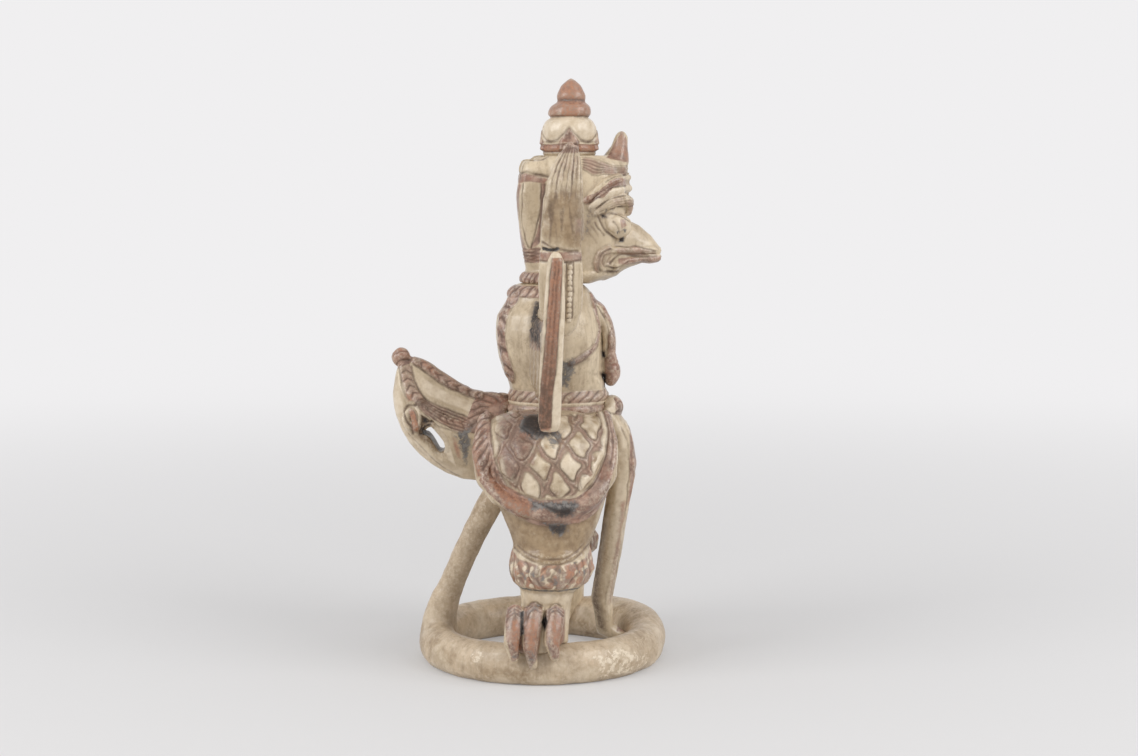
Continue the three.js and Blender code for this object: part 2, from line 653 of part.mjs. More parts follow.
function skullFront(z) {
  const slices = skullSlices();
  const t = shareAt(slices, z);
  return smooth(slices.map(({ x, rx }) => x + rx), t);
}

function headForm() {
  const collar = { z: NECK_Z + GAP + 0.6 * BAND_HEIGHT, height: BAND_HEIGHT, rise: BAND_RISE };
  const skull = stack(skullSlices(), { power: SKULL_POWER, steps: 1, bands: [collar] });
  const pairs = [...eyeAndBrow(), lipForm()];
  const single = [skull, hairForm(), hornForm(), ...beakForm(), ...wrinklesForm()];
  return [...single, ...pairs, ...pairs.map(mirrored)];
}

// Rows of the upper and the lower beak from the tip back into the face: place along the beak,
// height away from the mouth and half-width, as shares of the beak's length, height and width
const upperBeak = [
  [0.94, 0.16, 0.08], [0.68, 0.53, 0.22], [0.28, 0.86, 0.36],
  [-0.12, 1.06, 0.45], [-0.5, 1.1, 0.55], [-1, 0.9, 0.62],
];
const lowerBeak = [
  [0.88, 0.16, 0.09], [0.38, 0.26, 0.27], [0, 0.4, 0.4],
  [-0.38, 0.62, 0.5], [-0.77, 0.78, 0.6], [-1.1, 0.74, 0.62],
];

// The two halves of the beak, each half-round, with the gap of the mouth between them
function beakForm() {
  return [[upperBeak, 1], [lowerBeak, -1]].map(([rows, side]) => {
    return skin(rows.map(([along, high, wide]) => Array.from({ length: COARSE + 1 }, (_, i) => {
      const angle = Math.PI * i / COARSE;
      const rise = MOUTH_GAP / 2 + high * BEAK_HEIGHT * Math.sin(angle) ** 0.8;
      return point(
        FACE_X + along * BEAK_LENGTH,
        wide * BEAK_WIDTH * Math.cos(angle),
        NECK_Z + MOUTH_LEVEL + side * rise,
      );
    })));
  });
}

// Bulging eye under a thick curled brow, on the right side
function eyeAndBrow() {
  const eyeZ = NECK_Z + EYE_LEVEL;
  const half = BROW_THICKNESS / 2;
  const eye = ball(onSkull(FACE_X - 5.4, eyeZ, -0.3 * EYE_RISE), EYE_LENGTH / 2, EYE_RISE, EYE_HEIGHT / 2);
  const browPath = [[-14, 4.4], [-7.6, 9.6], [-3, 11.2], [-1, 9.6], [-1, 5]]
    .map(([along, rise]) => onSkull(FACE_X + along, eyeZ + rise, 0.2 * half));
  const brow = sweep(browPath, halves([[0.16], [0.95], [1.1], [1.1], [0.4]], half), { across: up, steps: 1 });
  return [eye, brow];
}

// Two folds of the forehead, which run from temple to temple above the brows
function wrinklesForm() {
  const eyeZ = NECK_Z + EYE_LEVEL;
  const half = BROW_THICKNESS / 2;
  const folds = [
    { places: [[-16, 7.2], [-9.6, 13], [-4, 15]], shares: [[0.16], [0.9], [0.9]] },
    { places: [[-18, 10], [-10, 16.6], [-4, 19]], shares: [[0.16], [0.75], [0.7]] },
  ];
  return folds.map(({ places, shares }) => {
    const right = places.map(([along, rise]) => onSkull(FACE_X + along, eyeZ + rise, 0.2 * half));
    const left = right.map((p) => p.clone().setY(-p.y)).reverse();
    const middleZ = right.at(-1).z;
    const path = [...right, point(skullFront(middleZ), 0, middleZ), ...left];
    const sizes = halves([...shares, shares.at(-1), ...shares.toReversed()], half);
    return sweep(path, sizes, { across: up, steps: 1 });
  });
}

// Rolled lip along both edges of the beak and round the corner of the mouth, on the right side
function lipForm() {
  const mouthZ = NECK_Z + MOUTH_LEVEL;
  const half = LIP_THICKNESS / 2;
  const away = MOUTH_GAP / 2 + half;
  const edge = (rows, rise) => rows.slice(0, 4).map(([along, high, wide]) => point(
    FACE_X + along * BEAK_LENGTH,
    -wide * BEAK_WIDTH + 0.3 * half,
    mouthZ + rise(high * BEAK_HEIGHT),
  ));
  const corner = [[-8, 1.6], [-11.4, 0.4], [-12.6, -3.2], [-11, -6.8], [-7.4, -7.6]]
    .map(([along, rise]) => onSkull(FACE_X + along, mouthZ + rise));
  const path = [
    ...edge(upperBeak, () => away),
    ...corner,
    ...edge(lowerBeak, (deep) => -Math.max(away, 0.55 * deep)).reverse(),
  ];
  const shares = path.map((_, i) => (i === 0 || i === path.length - 1 ? [0.6] : [1]));
  return sweep(path, halves(shares, half), { sides: 6, steps: 1 });
}

// Rolled hair that hangs down the back of the head and narrows to the nape
function hairForm() {
  const x = NAPE_X + 2.9;
  const level = (share) => NECK_Z + share * HEAD_HEIGHT;
  return stack([
    { z: level(0.1), x, rx: 0.27 * HAIR_LENGTH, ry: 0.3 * HAIR_WIDTH },
    { z: level(0.22), x, rx: 0.3 * HAIR_LENGTH, ry: 0.34 * HAIR_WIDTH },
    { z: level(0.42), x, rx: 0.4 * HAIR_LENGTH, ry: 0.42 * HAIR_WIDTH },
    { z: level(0.62), x, rx: 0.48 * HAIR_LENGTH, ry: 0.48 * HAIR_WIDTH },
    { z: level(0.8), x, rx: 0.5 * HAIR_LENGTH, ry: 0.5 * HAIR_WIDTH },
    { z: level(0.92), x: x + 0.5, rx: 0.5 * HAIR_LENGTH, ry: 0.49 * HAIR_WIDTH },
    { z: level(0.97), x: x + 1.2, rx: 0.46 * HAIR_LENGTH, ry: 0.42 * HAIR_WIDTH },
  ], { sides: MEDIUM, steps: 1, power: 3.2 });
}

function hornForm() {
  const half = HORN_LENGTH / 2;
  const foot = CROWN_Z - 3;
  const path = [
    point(FACE_X - half - 0.5, 0, foot),
    point(FACE_X - half + 0.4, 0, foot + 0.2 * HORN_HEIGHT),
    point(FACE_X - 0.36 * HORN_LENGTH, 0, foot + 0.5 * HORN_HEIGHT),
    point(FACE_X - 0.3 * HORN_LENGTH, 0, foot + 0.84 * HORN_HEIGHT),
    point(FACE_X - 0.28 * HORN_LENGTH, 0, foot + 0.96 * HORN_HEIGHT),
  ];
  const shares = [[0.9, 1], [0.86, 0.9], [0.6], [0.42], [0.14]];
  return sweep(path, halves(shares, half), { sides: 10, steps: 1 });
}

function crownForm() {
  const at = (wide, high) => [wide * CROWN_RADIUS, high * CROWN_HEIGHT];
  const profile = new THREE.Shape();
  profile.moveTo(0, GAP);
  profile.lineTo(0.88 * CROWN_RADIUS, GAP);
  profile.quadraticCurveTo(...at(1.05, 0.06), ...at(1, 0.13));
  profile.lineTo(...at(0.9, 0.18));
  profile.bezierCurveTo(...at(1, 0.34), ...at(0.84, 0.46), ...at(0.58, 0.49));
  profile.bezierCurveTo(...at(0.8, 0.53), ...at(0.76, 0.64), ...at(0.44, 0.69));
  profile.bezierCurveTo(...at(0.56, 0.76), ...at(0.36, 0.92), ...at(0, 1));
  const core = new THREE.LatheGeometry(profile.getPoints(3), FINE);
  core.rotateX(Math.PI / 2);
  const parts = [core, ...leavesForm()];
  return parts.map((part) => part.translate(CROWN_X, 0, CROWN_Z));
}

// Upright leaves round the crown's band
function leavesForm() {
  const leaf = new THREE.Shape();
  leaf.moveTo(-LEAF_WIDTH / 2, 0);
  leaf.lineTo(LEAF_WIDTH / 2, 0);
  leaf.quadraticCurveTo(0.36 * LEAF_WIDTH, 0.55 * LEAF_HEIGHT, 0, LEAF_HEIGHT);
  leaf.quadraticCurveTo(-0.36 * LEAF_WIDTH, 0.55 * LEAF_HEIGHT, -LEAF_WIDTH / 2, 0);
  const lean = 0.18;
  return Array.from({ length: LEAVES }, (_, i) => {
    const flat = { depth: LEAF_THICKNESS, bevelEnabled: false, curveSegments: 3 };
    const geometry = new THREE.ExtrudeGeometry(leaf, flat);
    geometry.rotateX(Math.PI / 2 - lean);
    geometry.translate(0, -CROWN_RADIUS + LEAF_THICKNESS - 0.8, 0.06 * CROWN_HEIGHT);
    return geometry.rotateZ((i / LEAVES) * 2 * Math.PI);
  });
}

// Tail that rises behind like a prow: a ridged back, a keel below and a pierced slot between them
function tailForm() {
  const rootX = BODY_X - 0.5 * PELVIS_LENGTH + 4;
  const x = (share) => rootX - 6 - share * TAIL_LENGTH;
  const ridge = WAIST_Z + 7;
  const keel = ridge - TAIL_HEIGHT;
  const ribs = [
    { ridge: [-0.17, 0.05], keel: [-0.17, 0], wide: 0.84 },
    { ridge: [0.2, 0.16], keel: [0.28, 0.03], wide: 1 },
    { ridge: [0.42, 0.48], keel: [0.62, 0.2], wide: 0.98 },
    { ridge: [0.6, 0.74], keel: [0.87, 0.46], wide: 0.88 },
    { ridge: [0.75, 0.88], keel: [1, 0.74], wide: 0.7 },
    { ridge: [0.85, 0.93], keel: [1.04, 1.02], wide: 0.5 },
    { ridge: [0.93, 1], keel: [1, 1.28], wide: 0.3 },
  ];
  const steps = 2;
  const count = (ribs.length - 1) * steps;
  const rings = Array.from({ length: count + 1 }, (_, i) => {
    const at = (pick) => smooth(ribs.map(pick), i / count);
    const spine = point(x(at((r) => r.ridge[0])), 0, ridge + TAIL_RISE * at((r) => r.ridge[1]));
    const hull = point(x(at((r) => r.keel[0])), 0, keel + 2 * TAIL_RISE * at((r) => r.keel[1]));
    const middle = spine.clone().lerp(hull, 0.5 + 0.2 * at((r) => 1 - r.wide));
    const half = (TAIL_WIDTH / 2) * at((r) => r.wide);
    const flank = [
      [spine, 0.12], [spine.clone().lerp(middle, 0.5), 0.56], [middle, 1],
      [middle.clone().lerp(hull, 0.4), 0.78], [middle.clone().lerp(hull, 0.75), 0.58], [hull, 0.26],
    ];
    const right = flank.map(([p, share]) => p.clone().setY(-share * half));
    const left = flank.map(([p, share]) => p.clone().setY(share * half)).reverse();
    return [...right, ...left];
  });
  const tip = point(x(0.96), 0, ridge + TAIL_RISE - 1);
  const knob = ball(tip, 0.5 * TAIL_KNOB, 0.48 * TAIL_KNOB, 0.52 * TAIL_KNOB);
  const volute = voluteForm(x(0.82), -0.3 * TAIL_WIDTH, keel + 1.46 * TAIL_RISE);
  return [skin(rings), knob, volute, mirrored(volute)];
}

// Flat scroll on the side of the tail
function voluteForm(x, y, z) {
  const turns = 1.15;
  const half = VOLUTE_HEIGHT / 2;
  const points = 9;
  const path = Array.from({ length: points }, (_, i) => {
    const share = i / (points - 1);
    const angle = share * turns * 2 * Math.PI - 0.6;
    const reach = half * (0.9 - 0.5 * share);
    return point(x + 0.75 * reach * Math.cos(angle), y, z + reach * Math.sin(angle));
  });
  const section = [0.33 * half, 0.3 * half];
  return sweep(path, path.map(() => section), { sides: 6, steps: 1 });
}

function tailSlot() {
  const slot = new THREE.Shape();
  const round = TAIL_SLOT_WIDTH / 2;
  const half = TAIL_SLOT_LENGTH / 2 - round;
  slot.absarc(half, 0, round, -Math.PI / 2, Math.PI / 2);
  slot.absarc(-half, 0, round, Math.PI / 2, 1.5 * Math.PI);
  const through = { depth: 2 * TAIL_WIDTH, bevelEnabled: false, curveSegments: 6 };
  const geometry = new THREE.ExtrudeGeometry(slot, through);
  const tilt = 0.92;
  geometry.rotateX(Math.PI / 2);
  geometry.rotateY(tilt);
  const slotX = BODY_X - 0.5 * PELVIS_LENGTH - TAIL_SLOT_SETBACK;
  return geometry.translate(slotX, TAIL_WIDTH, WAIST_Z - TAIL_SLOT_DROP);
}

// Front of the belt, where the sash is tied
function beltFront() {
  return BODY_X + 1.7 + WAIST_LENGTH / 2;
}

function knotZ() {
  return WAIST_Z + 0.3 * BELT_HEIGHT;
}

// Sash that falls from the knot of the belt to the inside of the ring
function sashForm() {
  const front = beltFront();
  const foot = RING_RADIUS - RING_WIDTH / 2;
  const fall = (share) => WAIST_Z * (1 - share);
  const path = [
    point(front + 1, 0, fall(-0.03)),
    point(front + 0.7 * SASH_BULGE, 0, fall(0.07)),
    point(front + SASH_BULGE, 0, fall(0.2)),
    point(front + 0.72 * SASH_BULGE, 0, fall(0.36)),
    point(foot - 6, 0, fall(0.56)),
    point(foot - 9.5, 0, fall(0.76)),
    point(foot - 8.8, 0, fall(0.88)),
    point(foot + 1, 0, fall(0.95)),
  ];
  const shares = [
    [1, 0.7], [1, 0.95], [0.96, 1], [0.9, 0.98], [0.8, 0.94], [0.68, 0.88], [0.58, 0.78], [0.42, 0.5],
  ];
  const sizes = halves(shares, SASH_WIDTH / 2, SASH_THICKNESS / 2);
  const cloth = sweep(path, sizes, { power: 2.6, sides: MEDIUM, steps: 1 });
  const knot = ball(point(front + 4, 0, knotZ()), KNOT_LENGTH / 2, KNOT_WIDTH / 2, KNOT_HEIGHT / 2);
  return [cloth, knot];
}

// Back of the pelvis, where the tail is pegged on
const rumpX = BODY_X - PELVIS_SETBACK - PELVIS_LENGTH / 2;

// Dowels, each named with the two points that it runs between
const dowelEnds = {
  neck_dowel: [point(BODY_X + 1, 0, NECK_Z - DOWEL_DEPTH), point(BODY_X + 1, 0, NECK_Z + DOWEL_DEPTH)],
  crown_dowel: [point(CROWN_X, 0, CROWN_Z - DOWEL_DEPTH), point(CROWN_X, 0, CROWN_Z + DOWEL_DEPTH)],
  tail_dowel: [
    point(rumpX + DOWEL_DEPTH, 0, WAIST_Z - TAIL_PEG_DROP),
    point(rumpX - 0.6 * DOWEL_DEPTH, 0, WAIST_Z - TAIL_PEG_DROP),
  ],
  sash_dowel: [
    point(beltFront() - DOWEL_DEPTH, 0, knotZ()),
    point(beltFront() + 0.65 * DOWEL_DEPTH, 0, knotZ()),
  ],
};
const nagaTop = nagaBodyPath().slice(-2);
dowelEnds.naga_dowel = [
  nagaTop[0].clone().lerp(nagaTop[1], 0.06),
  nagaTop[0].clone().lerp(nagaTop[1], 0.98),
];

// Dowels of the right side, for a foot that stands a step ahead
function sideDowelEnds(step) {
  const hipZ = WAIST_Z - 0.28 * THIGH_HEIGHT;
  const footX = LEG_X - 1.5 + step;
  const wingZ = shoulderZ() + 0.5 * FOREARM_HEIGHT;
  return {
    hip_dowel: [
      point(LEG_X, -(PELVIS_WIDTH / 2 - DOWEL_DEPTH), hipZ),
      point(LEG_X, -(PELVIS_WIDTH / 2 + DOWEL_DEPTH), hipZ),
    ],
    foot_dowel: [
      point(footX, -RING_RADIUS + 1, RING_HEIGHT - DOWEL_DEPTH),
      point(footX, -RING_RADIUS + 1, RING_HEIGHT + DOWEL_DEPTH),
    ],
    shoulder_dowel: [
      point(BODY_X + 0.5, -(0.46 * CHEST_WIDTH - DOWEL_DEPTH), shoulderZ()),
      point(BODY_X + 0.5, -(0.46 * CHEST_WIDTH + DOWEL_DEPTH), shoulderZ()),
    ],
    wing_dowel: [
      point(WING_X + 1, -(ARM_REACH - 0.3 * ARM_THICKNESS), wingZ),
      point(WING_X + 1, -(wingRibY() + 0.1 * WING_RIB_WIDTH), wingZ),
    ],
  };
}

function dowel([start, end]) {
  return rod(start, end, DOWEL_DIAMETER);
}

// Blind hole for a dowel, wider and longer than the dowel by the gap
function dowelHole([start, end]) {
  const reach = new THREE.Vector3().subVectors(end, start).setLength(GAP);
  return solid(rod(start.clone().sub(reach), end.clone().add(reach), DOWEL_DIAMETER + 2 * GAP));
}

function dowelHoles(named, side = 1) {
  const turned = (end) => end.clone().multiply(point(1, side, 1));
  return Object.fromEntries(Object.entries(named).map(([name, ends]) => [name, dowelHole(ends.map(turned))]));
}

const holes = dowelHoles(dowelEnds);
const rightHoles = dowelHoles(sideDowelEnds(0));
const leftHoles = dowelHoles(sideDowelEnds(LEFT_STEP), -1);

// Grown copies that cut the seats
const torsoSeat = join(torsoForm(GAP));
const ringSeat = join(ringForm(GAP));
const rightLegSeat = join(legForm(GAP));
const leftLegSeat = join(legForm(GAP, LEFT_STEP).map(mirrored));
const armSeat = join(armForm(GAP));

const blocks = {
  naga_base: cut(join([...ringForm(0), nagaBody()]), [
    torsoSeat, holes.naga_dowel, rightHoles.foot_dowel, leftHoles.foot_dowel,
  ]),
  torso: cut(join(torsoForm(0)), [
    holes.neck_dowel, holes.tail_dowel, holes.sash_dowel, holes.naga_dowel,
    rightHoles.hip_dowel, leftHoles.hip_dowel, rightHoles.shoulder_dowel, leftHoles.shoulder_dowel,
  ]),
  head: cut(join(headForm()), [holes.neck_dowel, holes.crown_dowel]),
  crown: cut(join(crownForm()), [holes.crown_dowel]),
  tail: cut(join(tailForm()), [solid(tailSlot()), torsoSeat, rightLegSeat, leftLegSeat, holes.tail_dowel]),
  sash: cut(join(sashForm()), [torsoSeat, ringSeat, rightLegSeat, leftLegSeat, holes.sash_dowel]),
};
const sideBlocks = {
  arm: cut(join(armForm(0)), [torsoSeat, rightHoles.shoulder_dowel, rightHoles.wing_dowel]),
  wing: cut(join(wingForm()), [torsoSeat, armSeat, rightLegSeat, rightHoles.wing_dowel]),
};

function legBlock(step) {
  const { hip_dowel, foot_dowel } = dowelHoles(sideDowelEnds(step));
  return cut(join(legForm(0, step)), [torsoSeat, ringSeat, hip_dowel, foot_dowel]);
}

const paint = {
  bone: { color: 0xb9a27f, roughness: 0.5 },
  brown: { color: 0xa9826c, roughness: 0.55 },
  earth: { color: 0xae9474, roughness: 0.75 },
  wood: { color: 0xb08a5c, roughness: 0.85 },
};
const finish = { naga_base: "earth", crown: "brown", wing: "brown" };

function piece(name, geometry, slot) {
  const material = new THREE.MeshStandardMaterial({ ...paint[slot], metalness: 0 });
  const mesh = new THREE.Mesh(geometry, material);
  mesh.name = name;
  return mesh;
}

function carved(body) {
  const { vertProperties, triVerts } = body.getMesh();
  const geometry = new THREE.BufferGeometry();
  geometry.setAttribute("position", new THREE.BufferAttribute(vertProperties, 3));
  geometry.setIndex(new THREE.BufferAttribute(triVerts, 1));
  geometry.computeVertexNormals();
  return geometry;
}

const figure = new THREE.Group();
for (const [name, body] of Object.entries(blocks)) {
  figure.add(piece(name, carved(body), finish[name] ?? "bone"));
}
for (const [name, ends] of Object.entries(dowelEnds)) {
  figure.add(piece(name, dowel(ends), "wood"));
}
const leftSide = new THREE.Group();
leftSide.scale.y = -1;
figure.add(leftSide);
for (const [side, holder, step] of [["right", figure, 0], ["left", leftSide, LEFT_STEP]]) {
  for (const [name, body] of Object.entries({ leg: legBlock(step), ...sideBlocks })) {
    holder.add(piece(`${side}_${name}`, carved(body), finish[name] ?? "bone"));
  }
  for (const [name, ends] of Object.entries(sideDowelEnds(step))) {
    holder.add(piece(`${side}_${name}`, dowel(ends), "wood"));
  }
}

// The origin is the middle of the figure's box, on the floor
const box = new THREE.Box3().setFromObject(figure);
figure.position.x = -(box.min.x + box.max.x) / 2;

const garuda = new THREE.Group();
garuda.add(figure);
export default garuda;
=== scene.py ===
# Looks of a carved and painted wooden garuda: each CAD block gets a fine copy, carved and painted.
# Work is in millimetres in the frame's axes, and meshes go to Blender in metres.
# Ornament lies on named lines of pixels of the 1138 x 756 picture, cast from its camera on to a block.
# Lines are drawn on the right side, and count for the mirrored left side too.
import math
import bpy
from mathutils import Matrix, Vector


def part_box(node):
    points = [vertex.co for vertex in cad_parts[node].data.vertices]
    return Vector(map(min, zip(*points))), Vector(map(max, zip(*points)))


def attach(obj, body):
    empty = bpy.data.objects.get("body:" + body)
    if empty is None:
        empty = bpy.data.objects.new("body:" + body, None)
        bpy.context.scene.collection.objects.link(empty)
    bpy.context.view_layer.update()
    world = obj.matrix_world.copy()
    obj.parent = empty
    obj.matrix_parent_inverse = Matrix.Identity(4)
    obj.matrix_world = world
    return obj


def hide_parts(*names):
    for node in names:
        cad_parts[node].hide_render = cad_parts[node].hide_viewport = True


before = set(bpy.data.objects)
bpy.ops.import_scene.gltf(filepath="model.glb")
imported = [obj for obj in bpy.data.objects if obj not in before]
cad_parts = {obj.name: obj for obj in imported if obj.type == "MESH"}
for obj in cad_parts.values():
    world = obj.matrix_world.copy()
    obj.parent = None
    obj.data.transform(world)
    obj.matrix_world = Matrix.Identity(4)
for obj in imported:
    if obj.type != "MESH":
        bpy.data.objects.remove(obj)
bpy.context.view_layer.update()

from types import SimpleNamespace

import bpy
import numpy as np
from mathutils import Vector, noise
from mathutils.bvhtree import BVHTree

MM = 0.001

# Camera of the picture, fitted to the ring's ellipse and the figure's height
CAMERA = np.array((16.0, -750.0, 190.0))
PITCH = math.radians(5.9)
FOCAL_PIXELS = 1899
IMAGE_WIDTH = 1138
IMAGE_HEIGHT = 756
SENSOR_WIDTH = 36

RIGHT = np.array((1.0, 0.0, 0.0))
FORWARD = np.array((0.0, math.cos(PITCH), -math.sin(PITCH)))
UP = np.array((0.0, math.sin(PITCH), math.cos(PITCH)))

# Coats of paint that a block carries as one mask each; the grime and black coats also carry painted shade and
# painted shadow
COATS = ("ochre", "pale", "brown", "orange", "grime_and_shade", "black", "scuff", "hollow", "edge")

# Steps and waver of a line drawn by hand, in pixels
LINE_STEP = 2
WAVER = 0.9
WAVER_LENGTH = 9
WAVER_DEPTHS = (4, 40)

# Directions in which a line runs on round a block, and a place beyond every block
TO_FRONT = 1
TO_BACK = -1
WRAP_STEPS = 10
FAR = 200

# Smoothing: rounds that take out the voxels' steps, and the share of each round
STEP_ROUNDS = 6
SMOOTHING = 0.8


def ray(u, v):
    """Direction from the camera through a pixel of the picture."""
    toward = FOCAL_PIXELS * FORWARD + (u - IMAGE_WIDTH / 2) * RIGHT + (IMAGE_HEIGHT / 2 - v) * UP
    return toward / np.linalg.norm(toward)


def to_pixels(points):
    """Pixels of the picture at which points are seen."""
    away = points - CAMERA
    depth = away @ FORWARD
    u = IMAGE_WIDTH / 2 + FOCAL_PIXELS * (away @ RIGHT) / depth
    v = IMAGE_HEIGHT / 2 - FOCAL_PIXELS * (away @ UP) / depth
    return np.column_stack((u, v))


def curve(points, spacing):
    """Points at about this spacing on a smooth curve through a few points."""
    points = np.asarray(points, float)
    padded = np.vstack((2 * points[0] - points[1], points, 2 * points[-1] - points[-2]))
    runs = []
    for a, b, c, d in zip(padded, padded[1:], padded[2:], padded[3:]):
        count = max(2, math.ceil(np.linalg.norm(c - b) / spacing))
        t = np.arange(count)[:, None] / count
        bend = 2 * a - 5 * b + 4 * c - d
        runs.append(0.5 * (2 * b + (c - a) * t + bend * t ** 2 + (3 * (b - c) + d - a) * t ** 3))
    return np.vstack((*runs, points[-1:]))


def hand_drawn(pixels):
    """Smooth curve through a few pixels, with the waver of a hand."""
    path = curve(pixels, LINE_STEP)
    sway = [[noise.noise(Vector((u, v, depth)) / WAVER_LENGTH) for depth in WAVER_DEPTHS] for u, v in path]
    return path + WAVER * np.array(sway)


def between(first, last, count):
    """Curves of pixels spread evenly between two curves that have as many points."""
    first, last = np.asarray(first, float), np.asarray(last, float)
    return [first + (last - first) * i / max(count - 1, 1) for i in range(count)]


def each(lines):
    """The lines of a list, or the one line that is given alone."""
    return [lines] if isinstance(lines[0], tuple) else lines


def ramp(values, low, high):
    """0 below low and 1 above high, with a smooth step between them."""
    t = np.clip((values - low) / (high - low), 0, 1)
    return t * t * (3 - 2 * t)


def grain(points, size, seed=0.0):
    """Smooth noise of about -1 to 1 whose lumps are of this size."""
    shifted = points / size + seed
    return np.array([noise.noise(Vector(p)) for p in shifted])


def fine_mesh(name, voxel):
    """Even skin of quads over a CAD node: places in millimetres and corner numbers."""
    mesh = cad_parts[name].data.copy()
    mesh.transform([[1 / MM, 0, 0, 0], [0, 1 / MM, 0, 0], [0, 0, 1 / MM, 0], [0, 0, 0, 1]])
    holder = bpy.data.objects.new("holder", mesh)
    bpy.context.scene.collection.objects.link(holder)
    remesh = holder.modifiers.new("remesh", "REMESH")
    remesh.mode = "VOXEL"
    remesh.voxel_size = voxel
    skin = holder.evaluated_get(bpy.context.evaluated_depsgraph_get()).to_mesh()
    places = np.empty(len(skin.vertices) * 3)
    skin.vertices.foreach_get("co", places)
    corners = np.empty(len(skin.polygons) * 4, int)
    skin.loops.foreach_get("vertex_index", corners)
    bpy.data.objects.remove(holder)
    bpy.data.meshes.remove(mesh)
    return places.reshape(-1, 3), corners.reshape(-1, 4)


def mirror_fold(places):
    """Points brought to the right side."""
    return places * (1, 0, 1) - np.abs(places) * (0, 1, 0)


class Block:
    """Fine copy of a CAD block, to carve and paint along lines."""

    def __init__(self, node, voxel, rounds, weight=1.0, swell=0.2, fold=mirror_fold):
        self.fold = fold
        self.place, self.faces = fine_mesh(node, voxel)
        sides = np.sort(np.vstack([self.faces[:, [k, (k + 1) % 4]] for k in range(4)]), axis=1)
        self.links = np.unique(sides, axis=0)
        self.count = np.bincount(self.links.ravel(), minlength=len(self.place))
        self.lift = np.zeros(len(self.place))
        self.coats = {coat: np.zeros(len(self.place)) for coat in COATS}
        self.soften(STEP_ROUNDS)
        self.soften(rounds, weight(*self.place.T) if callable(weight) else weight)
        self.settle()
        self.lift += swell
        self.settle()

    def around_mean(self, values):
        """Mean of each point's neighbours."""
        i, j = self.links.T
        total = np.bincount(i, values[j], len(values)) + np.bincount(j, values[i], len(values))
        return total / self.count

    def soften(self, rounds, weight=1.0):
        """Draw each point towards its neighbours, by a weight of 0 to 1, and keep the volume."""
        start = self.place.copy()
        self.place = self.diffuse(start, rounds, weight)
        self.place += self.diffuse(start - self.place, rounds, weight)

    def diffuse(self, values, rounds, weight):
        """Values drawn towards those of the neighbours, in rounds."""
        for _ in range(rounds):
            mean = np.column_stack([self.around_mean(axis) for axis in values.T])
            values = values + (SMOOTHING * weight * (mean - values).T).T
        return values

    def settle(self):
        """Move the points by the lift carved so far, and measure the shape afresh."""
        if self.lift.any():
            self.place = self.place + self.lift[:, None] * self.normal
            self.lift[:] = 0
        a, b, c, d = (self.place[self.faces[:, k]] for k in range(4))
        facing = np.cross(c - a, d - b)
        normal = np.zeros_like(self.place)
        for axis in range(3):
            for k in range(4):
                normal[:, axis] += np.bincount(self.faces[:, k], facing[:, axis], len(self.place))
        self.normal = normal / np.linalg.norm(normal, axis=1, keepdims=True)
        self.folded = self.fold(self.place)
        self.folded_normal = self.fold(self.place + self.normal) - self.folded
        self.seen = to_pixels(self.folded)
        self.faces_camera = (self.folded_normal * (CAMERA - self.folded)).sum(1) > 0
        self.tree = BVHTree.FromPolygons(self.place.tolist(), self.faces.tolist())

    def spot(self, u, v):
        """Point of the block under a pixel."""
        return np.array(self.tree.ray_cast(CAMERA, ray(u, v))[0])

    def line(self, pixels, wrap=0):
        """Points of the block under a line of pixels, which may run on round the front or back."""
        ways = [ray(u, v) for u, v in hand_drawn(pixels)]
        hits = [self.tree.ray_cast(CAMERA, way) for way in ways]
        met = [i for i, hit in enumerate(hits) if hit[0] is not None]
        depths = np.interp(range(len(hits)), met, [hits[i][3] for i in met])
        points = [self.tree.find_nearest(CAMERA + way * depth)[0] for way, depth in zip(ways, depths)]
        if wrap:
            end = points[-1]
            for y in np.linspace(end.y, 0, WRAP_STEPS)[1:]:
                hit = self.tree.ray_cast((wrap * FAR, y, end.z), (-wrap, 0, 0))[0]
                if hit is not None:
                    points.append(hit)
        return np.array(points)

    def seen_from_behind(self, places):
        """Points of the block behind a few places of y and z."""
        hits = [self.tree.ray_cast((-FAR, y, z), (1, 0, 0))[0] for y, z in curve(places, 1)]
        return np.array([hit for hit in hits if hit is not None])

    def near(self, line, reach):
        """The points within reach of a line: numbers, distances, places along it and signed sides."""
        moved = np.linalg.norm(np.diff(line, axis=0), axis=1) > 0.01
        line = line[np.insert(moved, 0, True)]
        inside = (self.folded > line.min(0) - reach) & (self.folded < line.max(0) + reach)
        pick = np.flatnonzero(inside.all(1))
        step = np.diff(line, axis=0)
        length = np.linalg.norm(step, axis=1)
        offset = self.folded[pick, None] - line[:-1]
        share = np.clip((offset * step).sum(2) / length ** 2, 0, 1)
        away = offset - share[..., None] * step
        gaps = np.linalg.norm(away, axis=2)
        best = gaps.argmin(1)
        row = np.arange(len(pick))
        gap = gaps[row, best]
        along = np.concatenate(([0], np.cumsum(length)))[best] + share[row, best] * length[best]
        turn = (np.cross(step[best], away[row, best]) * self.folded_normal[pick]).sum(1)
        keep = gap < reach
        side = np.sign(turn) * gap
        return SimpleNamespace(pick=pick[keep], gap=gap[keep], along=along[keep], side=side[keep])

    def along(self, pixels, reach, wrap=0):
        """As near(), for a line of pixels."""
        return self.near(self.line(pixels, wrap), reach)

    def level(self, z, reach, x):
        """As near(), for a level ring at a height, about an axis at x."""
        height = self.place[:, 2] - z
        pick = np.flatnonzero(np.abs(height) < reach)
        across = self.place[pick] - (x, 0, 0)
        along = np.arctan2(np.abs(across[:, 1]), across[:, 0]) * np.hypot(across[:, 0], across[:, 1]).mean()
        return SimpleNamespace(pick=pick, gap=np.abs(height[pick]), along=along, side=height[pick])

    def coat(self, name, pick, amount):
        """Paint some points, keeping the stronger paint."""
        self.coats[name][pick] = np.maximum(self.coats[name][pick], amount)

